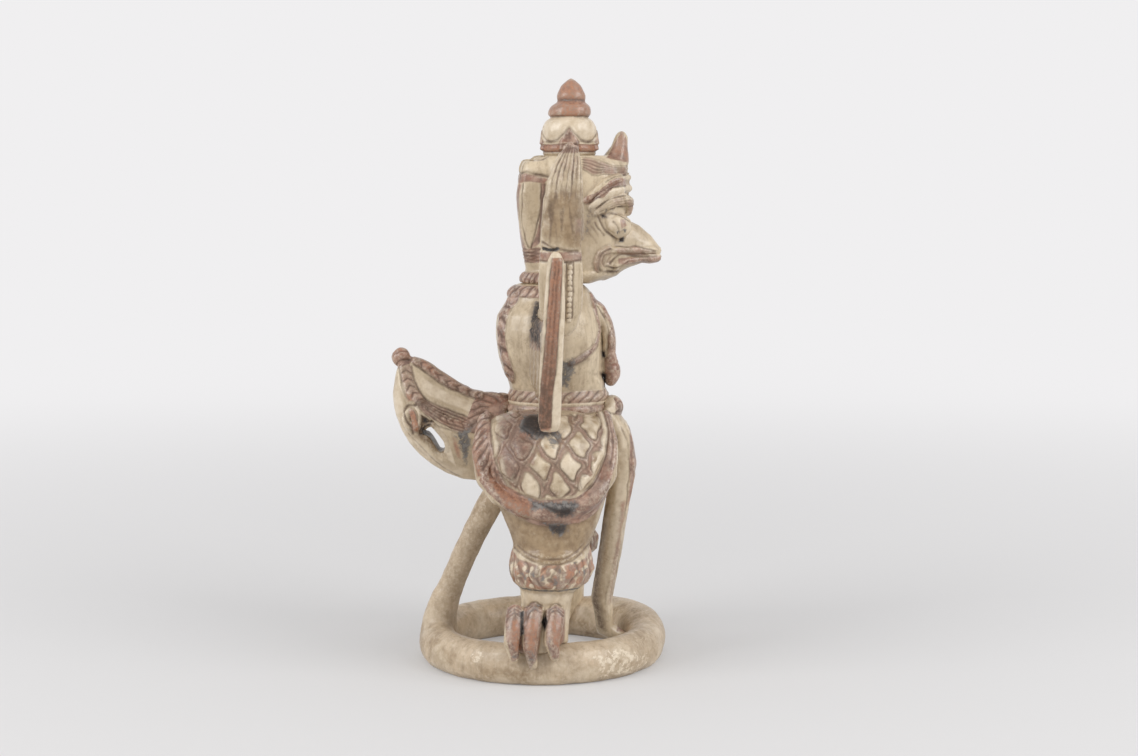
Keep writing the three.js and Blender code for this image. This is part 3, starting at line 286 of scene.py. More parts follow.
    def wash(self, name, amount):
        """Paint every point, keeping the stronger paint."""
        self.coat(name, slice(None), amount)

    def uneven(self, where, size, seed):
        """Noise of about -1 to 1 at some points, for work done by hand."""
        return grain(self.folded[where.pick], size, seed)

    def groove(self, where, wide, deep, grime_and_shade, fade=0.0):
        """Cut along a line, pressed unevenly, with grime and painted shade in it; it may fade out over its
        last millimetres.
        """
        press = np.clip(0.85 + 0.6 * self.uneven(where, 4.0, 5.5), 0.3, 1.1)
        if fade:
            press *= 1 - ramp(where.along, where.along.max() - fade, where.along.max())
        self.lift[where.pick] -= deep * press * np.exp(-(where.gap / (0.5 * wide)) ** 2)
        self.coat("grime_and_shade", where.pick, grime_and_shade * press * np.exp(-(where.gap / (0.62 * wide)) ** 2))

    def roll(self, where, wide, high, coat=None, amount=1.0):
        """Rounded ridge along a line, of a width and height."""
        bump = np.sqrt(np.clip(1 - (where.gap / (0.5 * wide)) ** 2, 0, 1))
        self.lift[where.pick] += high * bump
        if coat:
            self.coat(coat, where.pick, amount * ramp(bump, 0.0, 0.45))

    def rope(self, where, wide, high, pitch, slant=0.6, amount=1.0, share=1.0):
        """Twisted brown roll: a ridge with slanting cuts at a pitch."""
        self.plait(where, wide, high, where.along / pitch + slant * where.side / wide, amount, share)

    def leafage(self, where, wide, high, pitch, amount):
        """Brown ridge cut like a plait, with cuts that meet at its middle."""
        self.plait(where, wide, high, where.along / pitch - 0.8 * where.gap / wide, amount)

    def plait(self, where, wide, high, beat, amount, share=1.0):
        """Brown ridge with a cut at each beat, a little uneven."""
        bump = share * np.sqrt(np.clip(1 - (where.gap / (0.5 * wide)) ** 2, 0, 1))
        turn = np.cos(2 * np.pi * beat + 1.6 * self.uneven(where, 3.5, 8.8))
        self.lift[where.pick] += high * bump * (0.7 + 0.3 * turn)
        self.coat("brown", where.pick, amount * ramp(bump, 0.0, 0.45))
        self.coat("grime_and_shade", where.pick, 0.75 * ramp(-turn, 0.5, 0.95) * ramp(bump, 0.05, 0.5))

    def beads(self, where, size, high, coat):
        """Row of round beads, each of a size."""
        beat = (where.along % size) - size / 2
        bump = np.sqrt(np.clip(1 - (where.gap ** 2 + beat ** 2) / (0.5 * size) ** 2, 0, 1))
        self.lift[where.pick] += high * bump
        around = ramp(-where.gap, -0.6 * size, -0.4 * size)
        self.coat("grime_and_shade", where.pick, 0.7 * ramp(-bump, -0.35, -0.05) * around)
        self.coat(coat, where.pick, ramp(bump, 0.1, 0.5))

    def stripe(self, name, where, wide, amount=1.0):
        """Paint a stripe along a line."""
        self.coat(name, where.pick, amount * ramp(-where.gap, -0.6 * wide, -0.4 * wide))

    def inside(self, outline, soft):
        """Share of 0 to 1 by which each point is seen inside an outline of pixels, with a soft edge."""
        outline = np.asarray(outline, float)
        ends = np.roll(outline, -1, axis=0)
        low, high = outline.min(0) - soft, outline.max(0) + soft
        pick = np.flatnonzero(self.faces_camera & ((self.seen > low) & (self.seen < high)).all(1))
        points = self.seen[pick]
        crossing = np.zeros(len(pick), bool)
        gap = np.full(len(pick), np.inf)
        for (ax, ay), (bx, by) in zip(outline, ends):
            span = (ay > points[:, 1]) != (by > points[:, 1])
            reach = ax + (points[:, 1] - ay) * (bx - ax) / ((by - ay) or 1e-9)
            crossing ^= span & (points[:, 0] < reach)
            step = np.array((bx - ax, by - ay))
            share = np.clip((points - (ax, ay)) @ step / (step @ step), 0, 1)
            gap = np.minimum(gap, np.linalg.norm(points - (ax, ay) - share[:, None] * step, axis=1))
        amount = np.zeros(len(self.place))
        amount[pick] = ramp(np.where(crossing, gap, -gap), -soft, soft)
        return amount

    def rows(self, start, full, last, end):
        """Share of 0 to 1 by which each point is seen between rows of pixels."""
        row = self.seen[:, 1]
        return ramp(row, start, full) * (1 - ramp(row, last, end))

    def paint(self, *rows):
        """Paint inside outlines of pixels, by rows of coat, outline or outlines, amount and softness."""
        for coat, outlines, amount, soft in rows:
            for outline in each(outlines):
                self.wash(coat, amount * self.inside(outline, soft))

    def cuts(self, *rows):
        """Grooves under pixels, by rows of line or lines, width, depth, grime and painted shade, and perhaps
        a wrap.
        """
        for lines, wide, deep, grime_and_shade, *wrap in rows:
            for pixels in each(lines):
                self.groove(self.along(pixels, 2 * wide, *wrap), wide, deep, grime_and_shade)

    def rolls(self, *rows):
        """Rolls under pixels, by rows of line or lines, width, height and perhaps a coat and its amount."""
        for lines, wide, high, *coat in rows:
            for pixels in each(lines):
                self.roll(self.along(pixels, wide / 2), wide, high, *coat)

    def dome(self, pixel, size, high):
        """Round swelling about a pixel, of a size in millimetres."""
        away = np.linalg.norm(self.folded - self.spot(*pixel), axis=1) / (0.5 * size)
        self.lift += high * np.sqrt(np.clip(1 - away ** 2, 0, 1))

    def weather(self, tool_marks, rounds=3):
        """Hand carving's unevenness, then masks of hollows and edges from the finished shape."""
        self.lift += tool_marks * (grain(self.place, 5.0) + 0.5 * grain(self.place, 1.7, 7.3))
        self.settle()
        lean = np.zeros(len(self.place))
        for axis in range(3):
            lean += (self.around_mean(self.place[:, axis]) - self.place[:, axis]) * self.normal[:, axis]
        for _ in range(rounds):
            lean = 0.5 * lean + 0.5 * self.around_mean(lean)
        scale = np.percentile(np.abs(lean), 90)
        self.coats["hollow"] = np.clip(lean / scale, 0, 1)
        self.coats["edge"] = np.clip(-lean / scale, 0, 1)

    def show(self, node, slot, mirror=False, ahead=0.0):
        """Put the finished block in the scene in place of a CAD node, mirrored or moved ahead."""
        mesh = bpy.data.meshes.new(node)
        places = self.place * (1, -1 if mirror else 1, 1)
        places[:, 0] += ahead
        places *= MM
        mesh.from_pydata(places, [], self.faces[:, ::-1] if mirror else self.faces)
        for coat in COATS:
            mesh.attributes.new(coat, "FLOAT", "POINT").data.foreach_set("value", self.coats[coat])
        mesh.shade_smooth()
        mesh.materials.append(PAINTS[slot])
        carved = bpy.data.objects.new("carved_" + node, mesh)
        bpy.context.scene.collection.objects.link(carved)
        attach(carved, "root")
        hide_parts(node)


# Materials

def tone(red, green, blue):
    """Colour of 0 to 255 as a shader takes it."""
    shares = [value / 255 for value in (red, green, blue)]
    return (*(s / 12.92 if s <= 0.04045 else ((s + 0.055) / 1.055) ** 2.4 for s in shares), 1)


class Shader:
    """Nodes of a material or world, joined from colours, masks and noise."""

    def __init__(self, owner):
        owner.use_nodes = True
        self.tree = owner.node_tree
        self.surface = self.tree.nodes.get("Principled BSDF")
        self.output = next(node for node in self.tree.nodes if node.type.startswith("OUTPUT"))
        self.object = self.node("TexCoord").outputs["Object"]

    def node(self, kind, inputs=None, **settings):
        made = self.tree.nodes.new("ShaderNode" + kind)
        for key, value in settings.items():
            setattr(made, key, value)
        for key, value in (inputs or {}).items():
            self.set(made.inputs[key], value)
        return made

    def set(self, socket, value):
        if isinstance(value, bpy.types.NodeSocket):
            self.tree.links.new(value, socket)
        else:
            socket.default_value = value

    def into(self, name, value):
        self.set(self.surface.inputs[name], value)

    def times(self, first, second):
        return self.math("MULTIPLY", first, second)

    def noise(self, size, detail=4, roughness=0.55, stretch=(1, 1, 1)):
        """Noise of 0 to 1 with lumps of a size in millimetres, stretched along the axes."""
        place = self.node("Mapping", {"Vector": self.object, "Scale": stretch}).outputs[0]
        inputs = {"Vector": place, "Scale": 1 / (size * MM), "Detail": detail, "Roughness": roughness}
        return self.node("TexNoise", inputs).outputs["Fac"]

    def mask(self, name):
        return self.node("Attribute", attribute_name=name).outputs["Fac"]

    def math(self, operation, *values):
        made = self.node("Math", operation=operation)
        for socket, value in zip(made.inputs, values):
            self.set(socket, value)
        return made.outputs[0]

    def ramp(self, value, low, high, start=0.0, end=1.0):
        inputs = {"Value": value, 1: low, 2: high, 3: start, 4: end}
        return self.node("MapRange", inputs, interpolation_type="SMOOTHSTEP").outputs[0]

    def worn(self, mask, by, ragged=0.5, low=0.4, high=0.6):
        """Mask whose edge and surface are broken up by noise."""
        lean = self.math("MULTIPLY_ADD", by, ragged, -0.5 * ragged)
        return self.ramp(self.math("ADD", mask, lean), low, high)

    def mix(self, share, first, second, blend="MIX"):
        made = self.node("Mix", data_type="RGBA", blend_type=blend)
        for socket, value in zip((made.inputs[0], made.inputs[6], made.inputs[7]), (share, first, second)):
            self.set(socket, value)
        return made.outputs[2]

    def shown(self):
        """1 for what the camera sees directly, mirrored or through glass."""
        path = self.node("LightPath").outputs
        seen = self.math("MAXIMUM", path["Is Camera Ray"], path["Is Glossy Ray"])
        return self.math("MAXIMUM", seen, path["Is Transmission Ray"])


# Paints' ground in light and shade with its roughness, and tones of the coats
GROUNDS = {
    "bone_paint": ((208, 190, 161), (182, 163, 135), 0.36),
    "brown_paint": ((205, 187, 158), (178, 158, 130), 0.36),
    "earth_paint": ((200, 179, 151), (176, 156, 130), 0.55),
}
VARNISH = 0.3
VARNISH_ROUGHNESS = 0.22
STAIN = tone(140, 118, 92)
RUB = tone(222, 207, 184)
PALE_LIGHT = tone(220, 204, 180)
PALE_SHADE = tone(196, 177, 149)
OCHRE_LIGHT = tone(162, 138, 106)
OCHRE_DARK = tone(134, 110, 80)
BROWN_DARK = tone(114, 86, 72)
BROWN_LIGHT = tone(171, 139, 120)
BROWN_RED = tone(144, 94, 70)
BROWN_GREY = tone(132, 116, 105)
ORANGE_LIGHT = tone(178, 128, 98)
ORANGE_DARK = tone(134, 86, 64)
GRIME_AND_SHADE_LIGHT = tone(108, 84, 66)
GRIME_AND_SHADE_DARK = tone(56, 42, 34)
BLACK_LIGHT = tone(124, 119, 114)
BLACK_DARK = tone(44, 41, 41)
# Deepest painted shade, where black and grime both lie in gaps
DEEP_SHADE = tone(38, 29, 24)
WOOD_LIGHT = tone(190, 152, 104)
WOOD_DARK = tone(146, 108, 68)
WOOD_ROUGHNESS = 0.75
PAINT_BUMP = 0.25
WOOD_BUMP = 0.2


def paint_material(name, light, shade, roughness):
    """Worn paint on carved wood: a ground in two tones and the coats over it."""
    material = bpy.data.materials.new(name)
    s = Shader(material)
    broad = s.noise(15, 4)
    blotch = s.noise(7, 6, 0.68)
    middle = s.noise(3.6, 5, 0.62)
    fleck = s.noise(2.4, 8, 0.74)
    small = s.noise(1.1, 4, 0.65)
    streaks = s.noise(2.2, 5, 0.62, stretch=(1, 1, 0.16))
    ground = s.mix(s.ramp(broad, 0.35, 0.65), light, shade)
    ground = s.mix(s.ramp(streaks, 0.46, 0.7, 0, 0.42), ground, STAIN)
    ground = s.mix(s.ramp(fleck, 0.5, 0.68, 0, 0.45), ground, STAIN)
    ochre = s.mix(s.ramp(middle, 0.32, 0.68), OCHRE_LIGHT, OCHRE_DARK)
    colour = s.mix(s.worn(s.mask("ochre"), blotch, 0.9, 0.2, 0.85), ground, ochre)
    pale = s.mix(s.ramp(middle, 0.35, 0.7), PALE_LIGHT, PALE_SHADE)
    colour = s.mix(s.worn(s.mask("pale"), blotch, 0.7, 0.25, 0.8), colour, pale)
    brown = s.mix(s.ramp(middle, 0.32, 0.68), BROWN_DARK, BROWN_LIGHT)
    brown = s.mix(s.ramp(blotch, 0.5, 0.66, 0, 0.6), brown, BROWN_RED)
    brown = s.mix(s.ramp(broad, 0.52, 0.68, 0, 0.6), brown, BROWN_GREY)
    colour = s.mix(s.worn(s.mask("brown"), middle, 0.7, 0.25, 0.75), colour, brown)
    orange = s.mix(s.ramp(small, 0.35, 0.65), ORANGE_LIGHT, ORANGE_DARK)
    colour = s.mix(s.worn(s.mask("orange"), blotch, 0.8, 0.3, 0.8), colour, orange)
    hollow = s.times(s.mask("hollow"), s.ramp(middle, 0.25, 0.65, 0.3, 0.8))
    colour = s.mix(s.times(hollow, 0.7), colour, GRIME_AND_SHADE_LIGHT)
    edge = s.times(s.mask("edge"), s.ramp(small, 0.4, 0.64))
    colour = s.mix(s.times(edge, 0.42), colour, RUB)
    # The grime coat is dirt in cuts, and also painted shade in gaps, slits, hollows and under parts; both
    # darken to these tones
    dusk = s.times(s.mask("grime_and_shade"), s.ramp(fleck, 0.3, 0.6, 0.35, 1))
    colour = s.mix(dusk, colour, s.mix(small, GRIME_AND_SHADE_DARK, GRIME_AND_SHADE_LIGHT))
    specks = s.ramp(s.math("MULTIPLY_ADD", blotch, 0.5, small), 0.98, 1.04)
    colour = s.mix(s.times(specks, 0.5), colour, GRIME_AND_SHADE_LIGHT)
    # The black coat holds black paint chips, and also painted shadow in gaps; where grime is strong too it
    # takes the deepest painted shade tone
    black_share = s.worn(s.mask("black"), fleck, 1.9, 0.42, 0.8)
    black_share = s.times(black_share, s.ramp(small, 0.3, 0.5, 0.6, 1))
    black = s.mix(s.ramp(fleck, 0.4, 0.6), BLACK_DARK, BLACK_LIGHT)
    black = s.mix(s.ramp(s.mask("grime_and_shade"), 0.5, 0.95), black, DEEP_SHADE)
    colour = s.mix(black_share, colour, black)
    colour = s.mix(s.worn(s.mask("scuff"), fleck, 2.4, 0.55, 0.8), colour, RUB)
    s.into("Base Color", colour)
    dull = s.ramp(middle, 0.3, 0.7, roughness - 0.06, roughness + 0.1)
    dull = s.math("MULTIPLY_ADD", dusk, 0.25, dull)
    s.into("Roughness", dull)
    # Varnish is taken off where grime or painted shade lies
    varnish_share = s.math("SUBTRACT", 1.0, s.mask("grime_and_shade"))
    s.into("Coat Weight", s.times(varnish_share, VARNISH))
    s.into("Coat Roughness", VARNISH_ROUGHNESS)
    rough = s.math("MULTIPLY_ADD", streaks, 0.6, s.times(small, 0.5))
    rough = s.math("MULTIPLY_ADD", black_share, -0.5, rough)
    bump = s.node("Bump", {"Height": rough, "Strength": 0.3, "Distance": PAINT_BUMP * MM})
    s.into("Normal", bump.outputs[0])
    return material


def dowel_material():
    """Bare turned wood with its grain along the peg."""
    material = bpy.data.materials.new("dowel_wood")
    s = Shader(material)
    fibres = s.noise(1.4, 6, 0.6, stretch=(1, 1, 0.1))
    colour = s.mix(s.ramp(fibres, 0.3, 0.7), WOOD_LIGHT, WOOD_DARK)
    s.into("Base Color", colour)
    s.into("Roughness", WOOD_ROUGHNESS)
    bump = s.node("Bump", {"Height": fibres, "Strength": 0.3, "Distance": WOOD_BUMP * MM})
    s.into("Normal", bump.outputs[0])
    return material


PAINTS = {
    slot: paint_material(slot, tone(*light), tone(*shade), roughness)
    for slot, (light, shade, roughness) in GROUNDS.items()
}
dowel_wood = dowel_material()

# Crown

CROWN_AXIS = 0.5 * (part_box("crown")[0].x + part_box("crown")[1].x) / MM
CROWN_PIXEL = 569
BUD_FOOT = 100
RING_FOOT = 116
DOME_FOOT = 141
BAND_TOP = 144
BAND_FOOT = 153
BUD_LEAN = 0.7
BUD_SWELL = 0.4
DOME_SWELL = 0.5
BAND_TRIM = 0.6
DOME_TOP = 122
CROWN_RINGS = ((BUD_FOOT, 1.2, 0.1), (RING_FOOT, 1.0, 0.3), (BAND_FOOT, 1.0, 0.4))
CROWN_LEAF_EDGE = [(569, 127), (574, 133), (580, 140)]
CROWN_LEAF_VEIN = [(569, 131), (569, 141)]
CROWN_BAND_LINE = [(581, 141), (589, 142), (597, 143)]
CROWN_LEAF = [(564, 126), (569, 127), (574, 134), (580, 142), (580, 152), (564, 152)]


def crown_fold(places):
    """Points brought to the leaf that the picture shows, on its right-hand half."""
    away = places - (CROWN_AXIS, 0, 0)
    angle = np.arctan2(away[:, 0], -away[:, 1])
    folded = np.abs((angle + np.pi / 4) % (np.pi / 2) - np.pi / 4)
    reach = np.hypot(away[:, 0], away[:, 1])
    return np.column_stack((CROWN_AXIS + reach * np.sin(folded), -reach * np.cos(folded), places[:, 2]))


def carve_crown():
    crown = Block("crown", 0.36, rounds=16, fold=crown_fold)
    rows = (BUD_FOOT, RING_FOOT, DOME_TOP, DOME_FOOT, BAND_TOP, BAND_FOOT)
    height = {row: crown.spot(CROWN_PIXEL, row)[2] for row in rows}
    z = crown.place[:, 2]
    leaf = crown.inside(CROWN_LEAF, 1.2)
    upper = ramp(z, height[RING_FOOT] - 0.2, height[RING_FOOT] + 0.2)
    dome = ramp(z, height[DOME_FOOT] - 0.3, height[DOME_FOOT] + 0.3) * (1 - upper)
    band = ramp(z, height[BAND_FOOT] - 0.2, height[BAND_FOOT] + 0.2)
    band *= 1 - ramp(z, height[BAND_TOP], height[BAND_TOP] + 0.4)
    crown.coats["brown"] = np.maximum.reduce((0.8 * upper, 0.8 * leaf, band))
    crown.coats["orange"] = np.maximum(0.6 * upper, 0.8 * band * (1 - 0.6 * leaf))
    crown.coats["grime_and_shade"] = 0.2 * band
    crown.coats["pale"] = dome * (1 - leaf)
    for row, wide, deep in CROWN_RINGS:
        crown.groove(crown.level(height[row], 2 * wide, CROWN_AXIS), wide, deep, 0.7)
    crown.stripe("black", crown.level(height[BUD_FOOT], 1.2, CROWN_AXIS), 1.2, 0.5)
    crown.cuts(
        (CROWN_LEAF_EDGE, 0.9, 0.5, 0.75), (CROWN_LEAF_VEIN, 0.6, 0.15, 0.3),
        (CROWN_BAND_LINE, 1.1, 0.5, 0.75),
    )
    crown.lift += DOME_SWELL * dome * ramp(z, height[DOME_FOOT], height[DOME_TOP])
    crown.lift += BUD_SWELL * upper - BAND_TRIM * band
    crown.place[:, 0] += BUD_LEAN * ramp(z, height[RING_FOOT], height[BUD_FOOT])
    crown.weather(0.12)
    crown.show("crown", "brown_paint")


# Head

FRINGE_TOP = [(582, 157), (591, 158), (600, 160), (609, 164), (618, 166), (628, 166)]
FRINGE_FOOT = [(582, 169), (587, 172), (594, 176), (604, 174), (616, 175), (628, 174)]
FRINGE_LINES = between(FRINGE_TOP, FRINGE_FOOT, 6)
FRINGE = [*FRINGE_TOP, *FRINGE_FOOT[::-1]]
HORN = [(606, 158), (612, 147), (617, 138), (622, 129), (627, 140), (631, 158), (628, 163)]
RIDGE = [(587, 200), (594, 197), (600, 194), (606, 189), (611, 185), (618, 182), (625, 182)]
RIDGE_SHADE = [(589, 203), (596, 199), (607, 191), (612, 187), (618, 186), (626, 186)]
FOREHEAD_FOLD = [(596, 190), (602, 187), (608, 182), (614, 179), (624, 178)]
FOREHEAD_CUTS = [(606, 182), (610, 179), (614, 177), (619, 176), (626, 175)]
CRESCENT = [(594, 208), (600, 202), (608, 196), (616, 191), (625, 190)]
BROW_TOP = [(596, 209), (602, 204), (609, 200), (617, 197), (627, 195)]
BROW_FOOT = [(600, 212), (606, 210), (612, 209), (618, 207), (627, 206)]
BROW_LINES = between(BROW_TOP, BROW_FOOT, 5)[1:-1]
BROW = [*BROW_TOP, *BROW_FOOT[::-1]]
BROW_FRONT = [(627, 197), (631, 204), (633, 211), (632, 219)]
SOCKET_LOW = [(598, 217), (601, 222), (604, 228), (608, 233), (612, 237), (617, 239)]
SOCKET_OUTER = [(595, 222), (599, 229), (604, 235)]
CHEEK_FOLDS = [[(587, 222), (593, 228), (598, 235)], [(586, 230), (592, 236), (597, 243)]]
EYE = [(604, 215), (612, 210), (624, 209), (631, 214), (629, 222), (624, 231), (616, 235), (608, 227)]
EYE_MIDDLE = (616, 222)
IRIS = [(619, 220), (625, 219), (627, 226), (621, 229)]
UPPER_LID = [(602, 217), (608, 214), (615, 214), (623, 217), (630, 222)]
LOWER_LID = [(613, 222), (617, 227), (619, 233)]
EYE_CORNER = [(600, 214), (606, 213), (607, 218), (601, 219)]
EYE_HOLE = [(604, 209), (608, 209), (608, 212), (605, 213)]
TEMPLE_SHADE = [(584, 205), (592, 207), (599, 214), (594, 224), (588, 236), (582, 236)]
CHEEK = [(583, 240), (597, 242), (596, 266), (588, 274), (582, 262)]
BROW_SIDE = [(626, 199), (636, 199), (636, 220), (629, 220)]
NOSTRIL = [(619, 238), (624, 237), (624, 242), (619, 242)]
NOSE_SPOTS = [
    [(616, 231), (619, 231), (619, 235), (616, 235)],
    [(623, 229), (627, 229), (626, 233), (623, 233)],
]
BEAK = [(626, 224), (634, 224), (648, 234), (660, 246), (661, 251), (648, 248), (634, 245), (624, 244)]
LIP_TOP = [(617, 246), (626, 247), (634, 246), (641, 247), (649, 249), (656, 251)]
UPPER_LIP = [(614, 249), (624, 247), (636, 246), (656, 250), (656, 256), (634, 256), (618, 254)]
MOUTH = [(610, 263), (613, 260), (616, 257), (621, 255), (634, 256), (646, 256), (656, 256)]
LOWER_LIP = [(618, 258), (636, 257), (660, 256), (660, 261), (640, 263), (626, 265), (618, 264)]
JAW_LINE = [(606, 266), (612, 268), (618, 268), (623, 266), (628, 262)]
MOUTH_CORNER = [
    (611, 249), (605, 252), (601, 256), (599, 262), (599, 268), (601, 272), (608, 272), (617, 272),
]
MOUTH_RIM = [(609, 248), (602, 251), (598, 256), (596, 263), (597, 270)]
MOUTH_FOLDS = [(600, 250), (612, 250), (612, 266), (602, 270), (595, 262)]
MOUTH_CURL = [(611, 254), (606, 257), (604, 262), (606, 265), (611, 264)]
PROFILE = (
    ([(624, 172), (642, 172), (642, 196), (624, 196)], -1.0),
    ([(646, 253), (664, 253), (664, 266), (646, 264)], 1.0),
    ([(630, 222), (656, 236), (660, 246), (640, 236)], -0.5),
    ([(584, 268), (616, 266), (620, 278), (586, 288)], 0.6),
    ([(514, 152), (546, 150), (546, 164), (522, 172), (514, 172)], -0.6),
)
HAIR_TOP_LINE = [(548, 177), (541, 175), (534, 174), (527, 172), (519, 173)]
HAIR_BAND = [(514, 174), (526, 173), (541, 177), (549, 179), (544, 184), (530, 182), (514, 184)]
PANEL_EDGE = [(523, 184), (522, 200), (522, 222), (525, 238), (529, 248)]
PANEL_FRONT = [(541, 184), (541, 202), (539, 217), (535, 235), (531, 248)]
PANEL_OUTER = [(545, 184), (543, 202), (541, 216), (540, 230), (539, 242)]
PANEL_STRIP = [(541, 183), (546, 183), (542, 216), (540, 244), (530, 249), (536, 234), (540, 215)]
HAIR_EDGE = [(514, 184), (522, 184), (521, 222), (528, 250), (520, 250), (514, 220)]
NAPE = [(520, 250), (540, 247), (540, 263), (520, 263)]
NAPE_LINES = between([(521, 252), (530, 253), (540, 250)], [(521, 261), (530, 262), (540, 261)], 4)
COLLAR_PIXEL = (530, 278)
NECK_AXIS = 0.5 * (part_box("torso")[0].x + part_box("torso")[1].x) / MM
HAIR_SPREAD = (1.5, 4.5, 7.5)
HAIR_SWELL = 0.8
HAIR_ROWS = (180, 195, 255, 270)
HAIR_FRONT = (-2, 3)
HAIR_HIGH = 200
HAIR_LOW = 172
HAIR_BOW = 0.6
FACE_START = (18, 24)
PROFILE_SOFT = 5
EYE_SIZE = 8.0
EYE_HEIGHT = 0.8


def head_weight(x, y, z):
    """Strong smoothing on the back of the skull and the cheeks, little on the face."""
    return 0.12 + 0.5 * (1 - ramp(x, *FACE_START))


def behind(x):
    """Share of 0 to 1 by which a place is on the back half of the neck."""
    return 1 - ramp(x, NECK_AXIS - 2, NECK_AXIS + 2)


def carve_head():
    head = Block("head", 0.38, rounds=40, weight=head_weight)
    # TEMPLE_SHADE is painted shade between the hand and the face, in black and grime
    head.paint(
        ("brown", FRINGE, 0.6, 2), ("brown", HORN, 0.8, 1.5), ("orange", HORN, 0.5, 2),
        ("brown", BROW, 0.4, 1.5), ("brown", BROW_SIDE, 0.6, 2), ("black", TEMPLE_SHADE, 0.5, 6),
        ("grime_and_shade", TEMPLE_SHADE, 0.55, 6), ("pale", CHEEK, 0.45, 5), ("pale", EYE, 0.7, 2.5),
        ("brown", IRIS, 0.75, 2), ("black", EYE_CORNER, 0.85, 2.5), ("grime_and_shade", EYE_CORNER, 1.0, 2),
        ("black", EYE_HOLE, 0.8, 2), ("pale", BEAK, 0.4, 1.5), ("black", NOSTRIL, 1.0, 1.5),
        ("grime_and_shade", NOSTRIL, 1.0, 1.5), ("black", NOSE_SPOTS, 0.9, 2), ("brown", UPPER_LIP, 0.62, 1.5),
        ("brown", LOWER_LIP, 0.75, 1.5), ("brown", MOUTH_FOLDS, 0.5, 3), ("brown", HAIR_BAND, 0.75, 1.5),
        ("brown", PANEL_STRIP, 0.75, 1.5), ("brown", HAIR_EDGE, 0.7, 2), ("brown", NAPE, 0.8, 1.5),
    )
    head.dome(EYE_MIDDLE, EYE_SIZE, EYE_HEIGHT)
    head.rolls(
        (RIDGE, 3.2, 0.4, "brown", 0.85), (FOREHEAD_FOLD, 2.8, 0.3), (CRESCENT, 4.4, 0.4, "pale", 0.8),
        (BROW_FRONT, 3.4, 0.6), (MOUTH_RIM, 2.2, 0.4, "brown", 0.5), (MOUTH_CURL, 1.8, 0.4, "brown", 0.4),
    )
    for outline, high in PROFILE:
        head.lift += high * head.inside(outline, PROFILE_SOFT)
    head.lift += HAIR_SWELL * head.rows(*HAIR_ROWS) * (1 - ramp(head.place[:, 0], *HAIR_FRONT))
    head.settle()
    head.cuts(
        (RIDGE_SHADE, 0.8, 0.4, 0.8), (FOREHEAD_CUTS, 0.7, 0.3, 0.8), (BROW_TOP, 0.6, 0.3, 0.8, TO_FRONT),
        (BROW_FOOT, 0.9, 0.5, 0.8, TO_FRONT), (SOCKET_LOW, 0.9, 0.45, 0.8), (SOCKET_OUTER, 0.7, 0.25, 0.8),
        (UPPER_LID, 0.8, 0.4, 0.8), (LOWER_LID, 0.6, 0.25, 0.8), (LIP_TOP, 0.6, 0.3, 0.8),
        (MOUTH, 0.9, 0.5, 0.8), (JAW_LINE, 0.7, 0.3, 0.8), (MOUTH_CORNER, 1.4, 0.7, 0.8),
        (HAIR_TOP_LINE, 1.1, 0.5, 0.8, TO_BACK), (PANEL_EDGE, 0.6, 0.3, 0.8), (PANEL_FRONT, 0.7, 0.4, 0.8),
        (PANEL_OUTER, 0.9, 0.4, 0.8), (CHEEK_FOLDS, 0.9, 0.2, 0.3), (FRINGE_LINES, 0.5, 0.2, 0.5, TO_FRONT),
        (BROW_LINES, 0.45, 0.16, 0.5, TO_FRONT), (NAPE_LINES, 0.7, 0.3, 0.6, TO_BACK),
    )
    for y in HAIR_SPREAD:
        bow = (-y - HAIR_BOW, 0.5 * (HAIR_HIGH + HAIR_LOW))
        strand = head.seen_from_behind([(-y, HAIR_HIGH), bow, (-y, HAIR_LOW)])
        head.groove(head.near(strand, 1.6), 0.8, 0.3, 0.5)
    collar = head.level(head.spot(*COLLAR_PIXEL)[2], 2.1, NECK_AXIS)
    head.rope(collar, 4.2, 0.7, 3.0, share=behind(head.place[collar.pick, 0]))
    head.weather(0.1)
    head.show("head", "bone_paint")


# Arm and hand

FINGERTIPS = [(556, 138), (584, 138), (585, 178), (566, 184), (548, 176), (552, 158)]
FINGER_LEFT = [(566, 148), (558, 163), (552, 184), (550, 212)]
FINGER_RIGHT = [(579, 148), (581, 166), (581, 190), (580, 218)]
FINGER_CUTS = 7
FINGER_FADE = 16
FINGER_ENDS = [(561, 138), (582, 138), (581, 153), (560, 154)]
PALM = [(540, 192), (586, 186), (586, 252), (540, 246)]
PALM_GRAIN = (1, 1, 0.16)
PALM_STAIN = [(570, 190), (587, 188), (587, 242), (576, 240), (571, 218)]
PALM_BLUSH = [(574, 218), (585, 218), (585, 236), (575, 236)]
PALM_SEAM = [(541, 242), (548, 246), (557, 249), (568, 251), (578, 252)]
PALM_SLIT = [(542, 249), (550, 250), (558, 249)]
CUFF = [(534, 252), (584, 252), (584, 261), (534, 261)]
CUFF_LINE = [(538, 261), (560, 262), (583, 261)]
ARM_BEADS = [(570, 264), (570, 290), (569, 320)]
ARM_BEAD_EDGES = [[(573, 262), (573, 290), (572, 318)], [(566, 262), (566, 290), (565, 320)]]


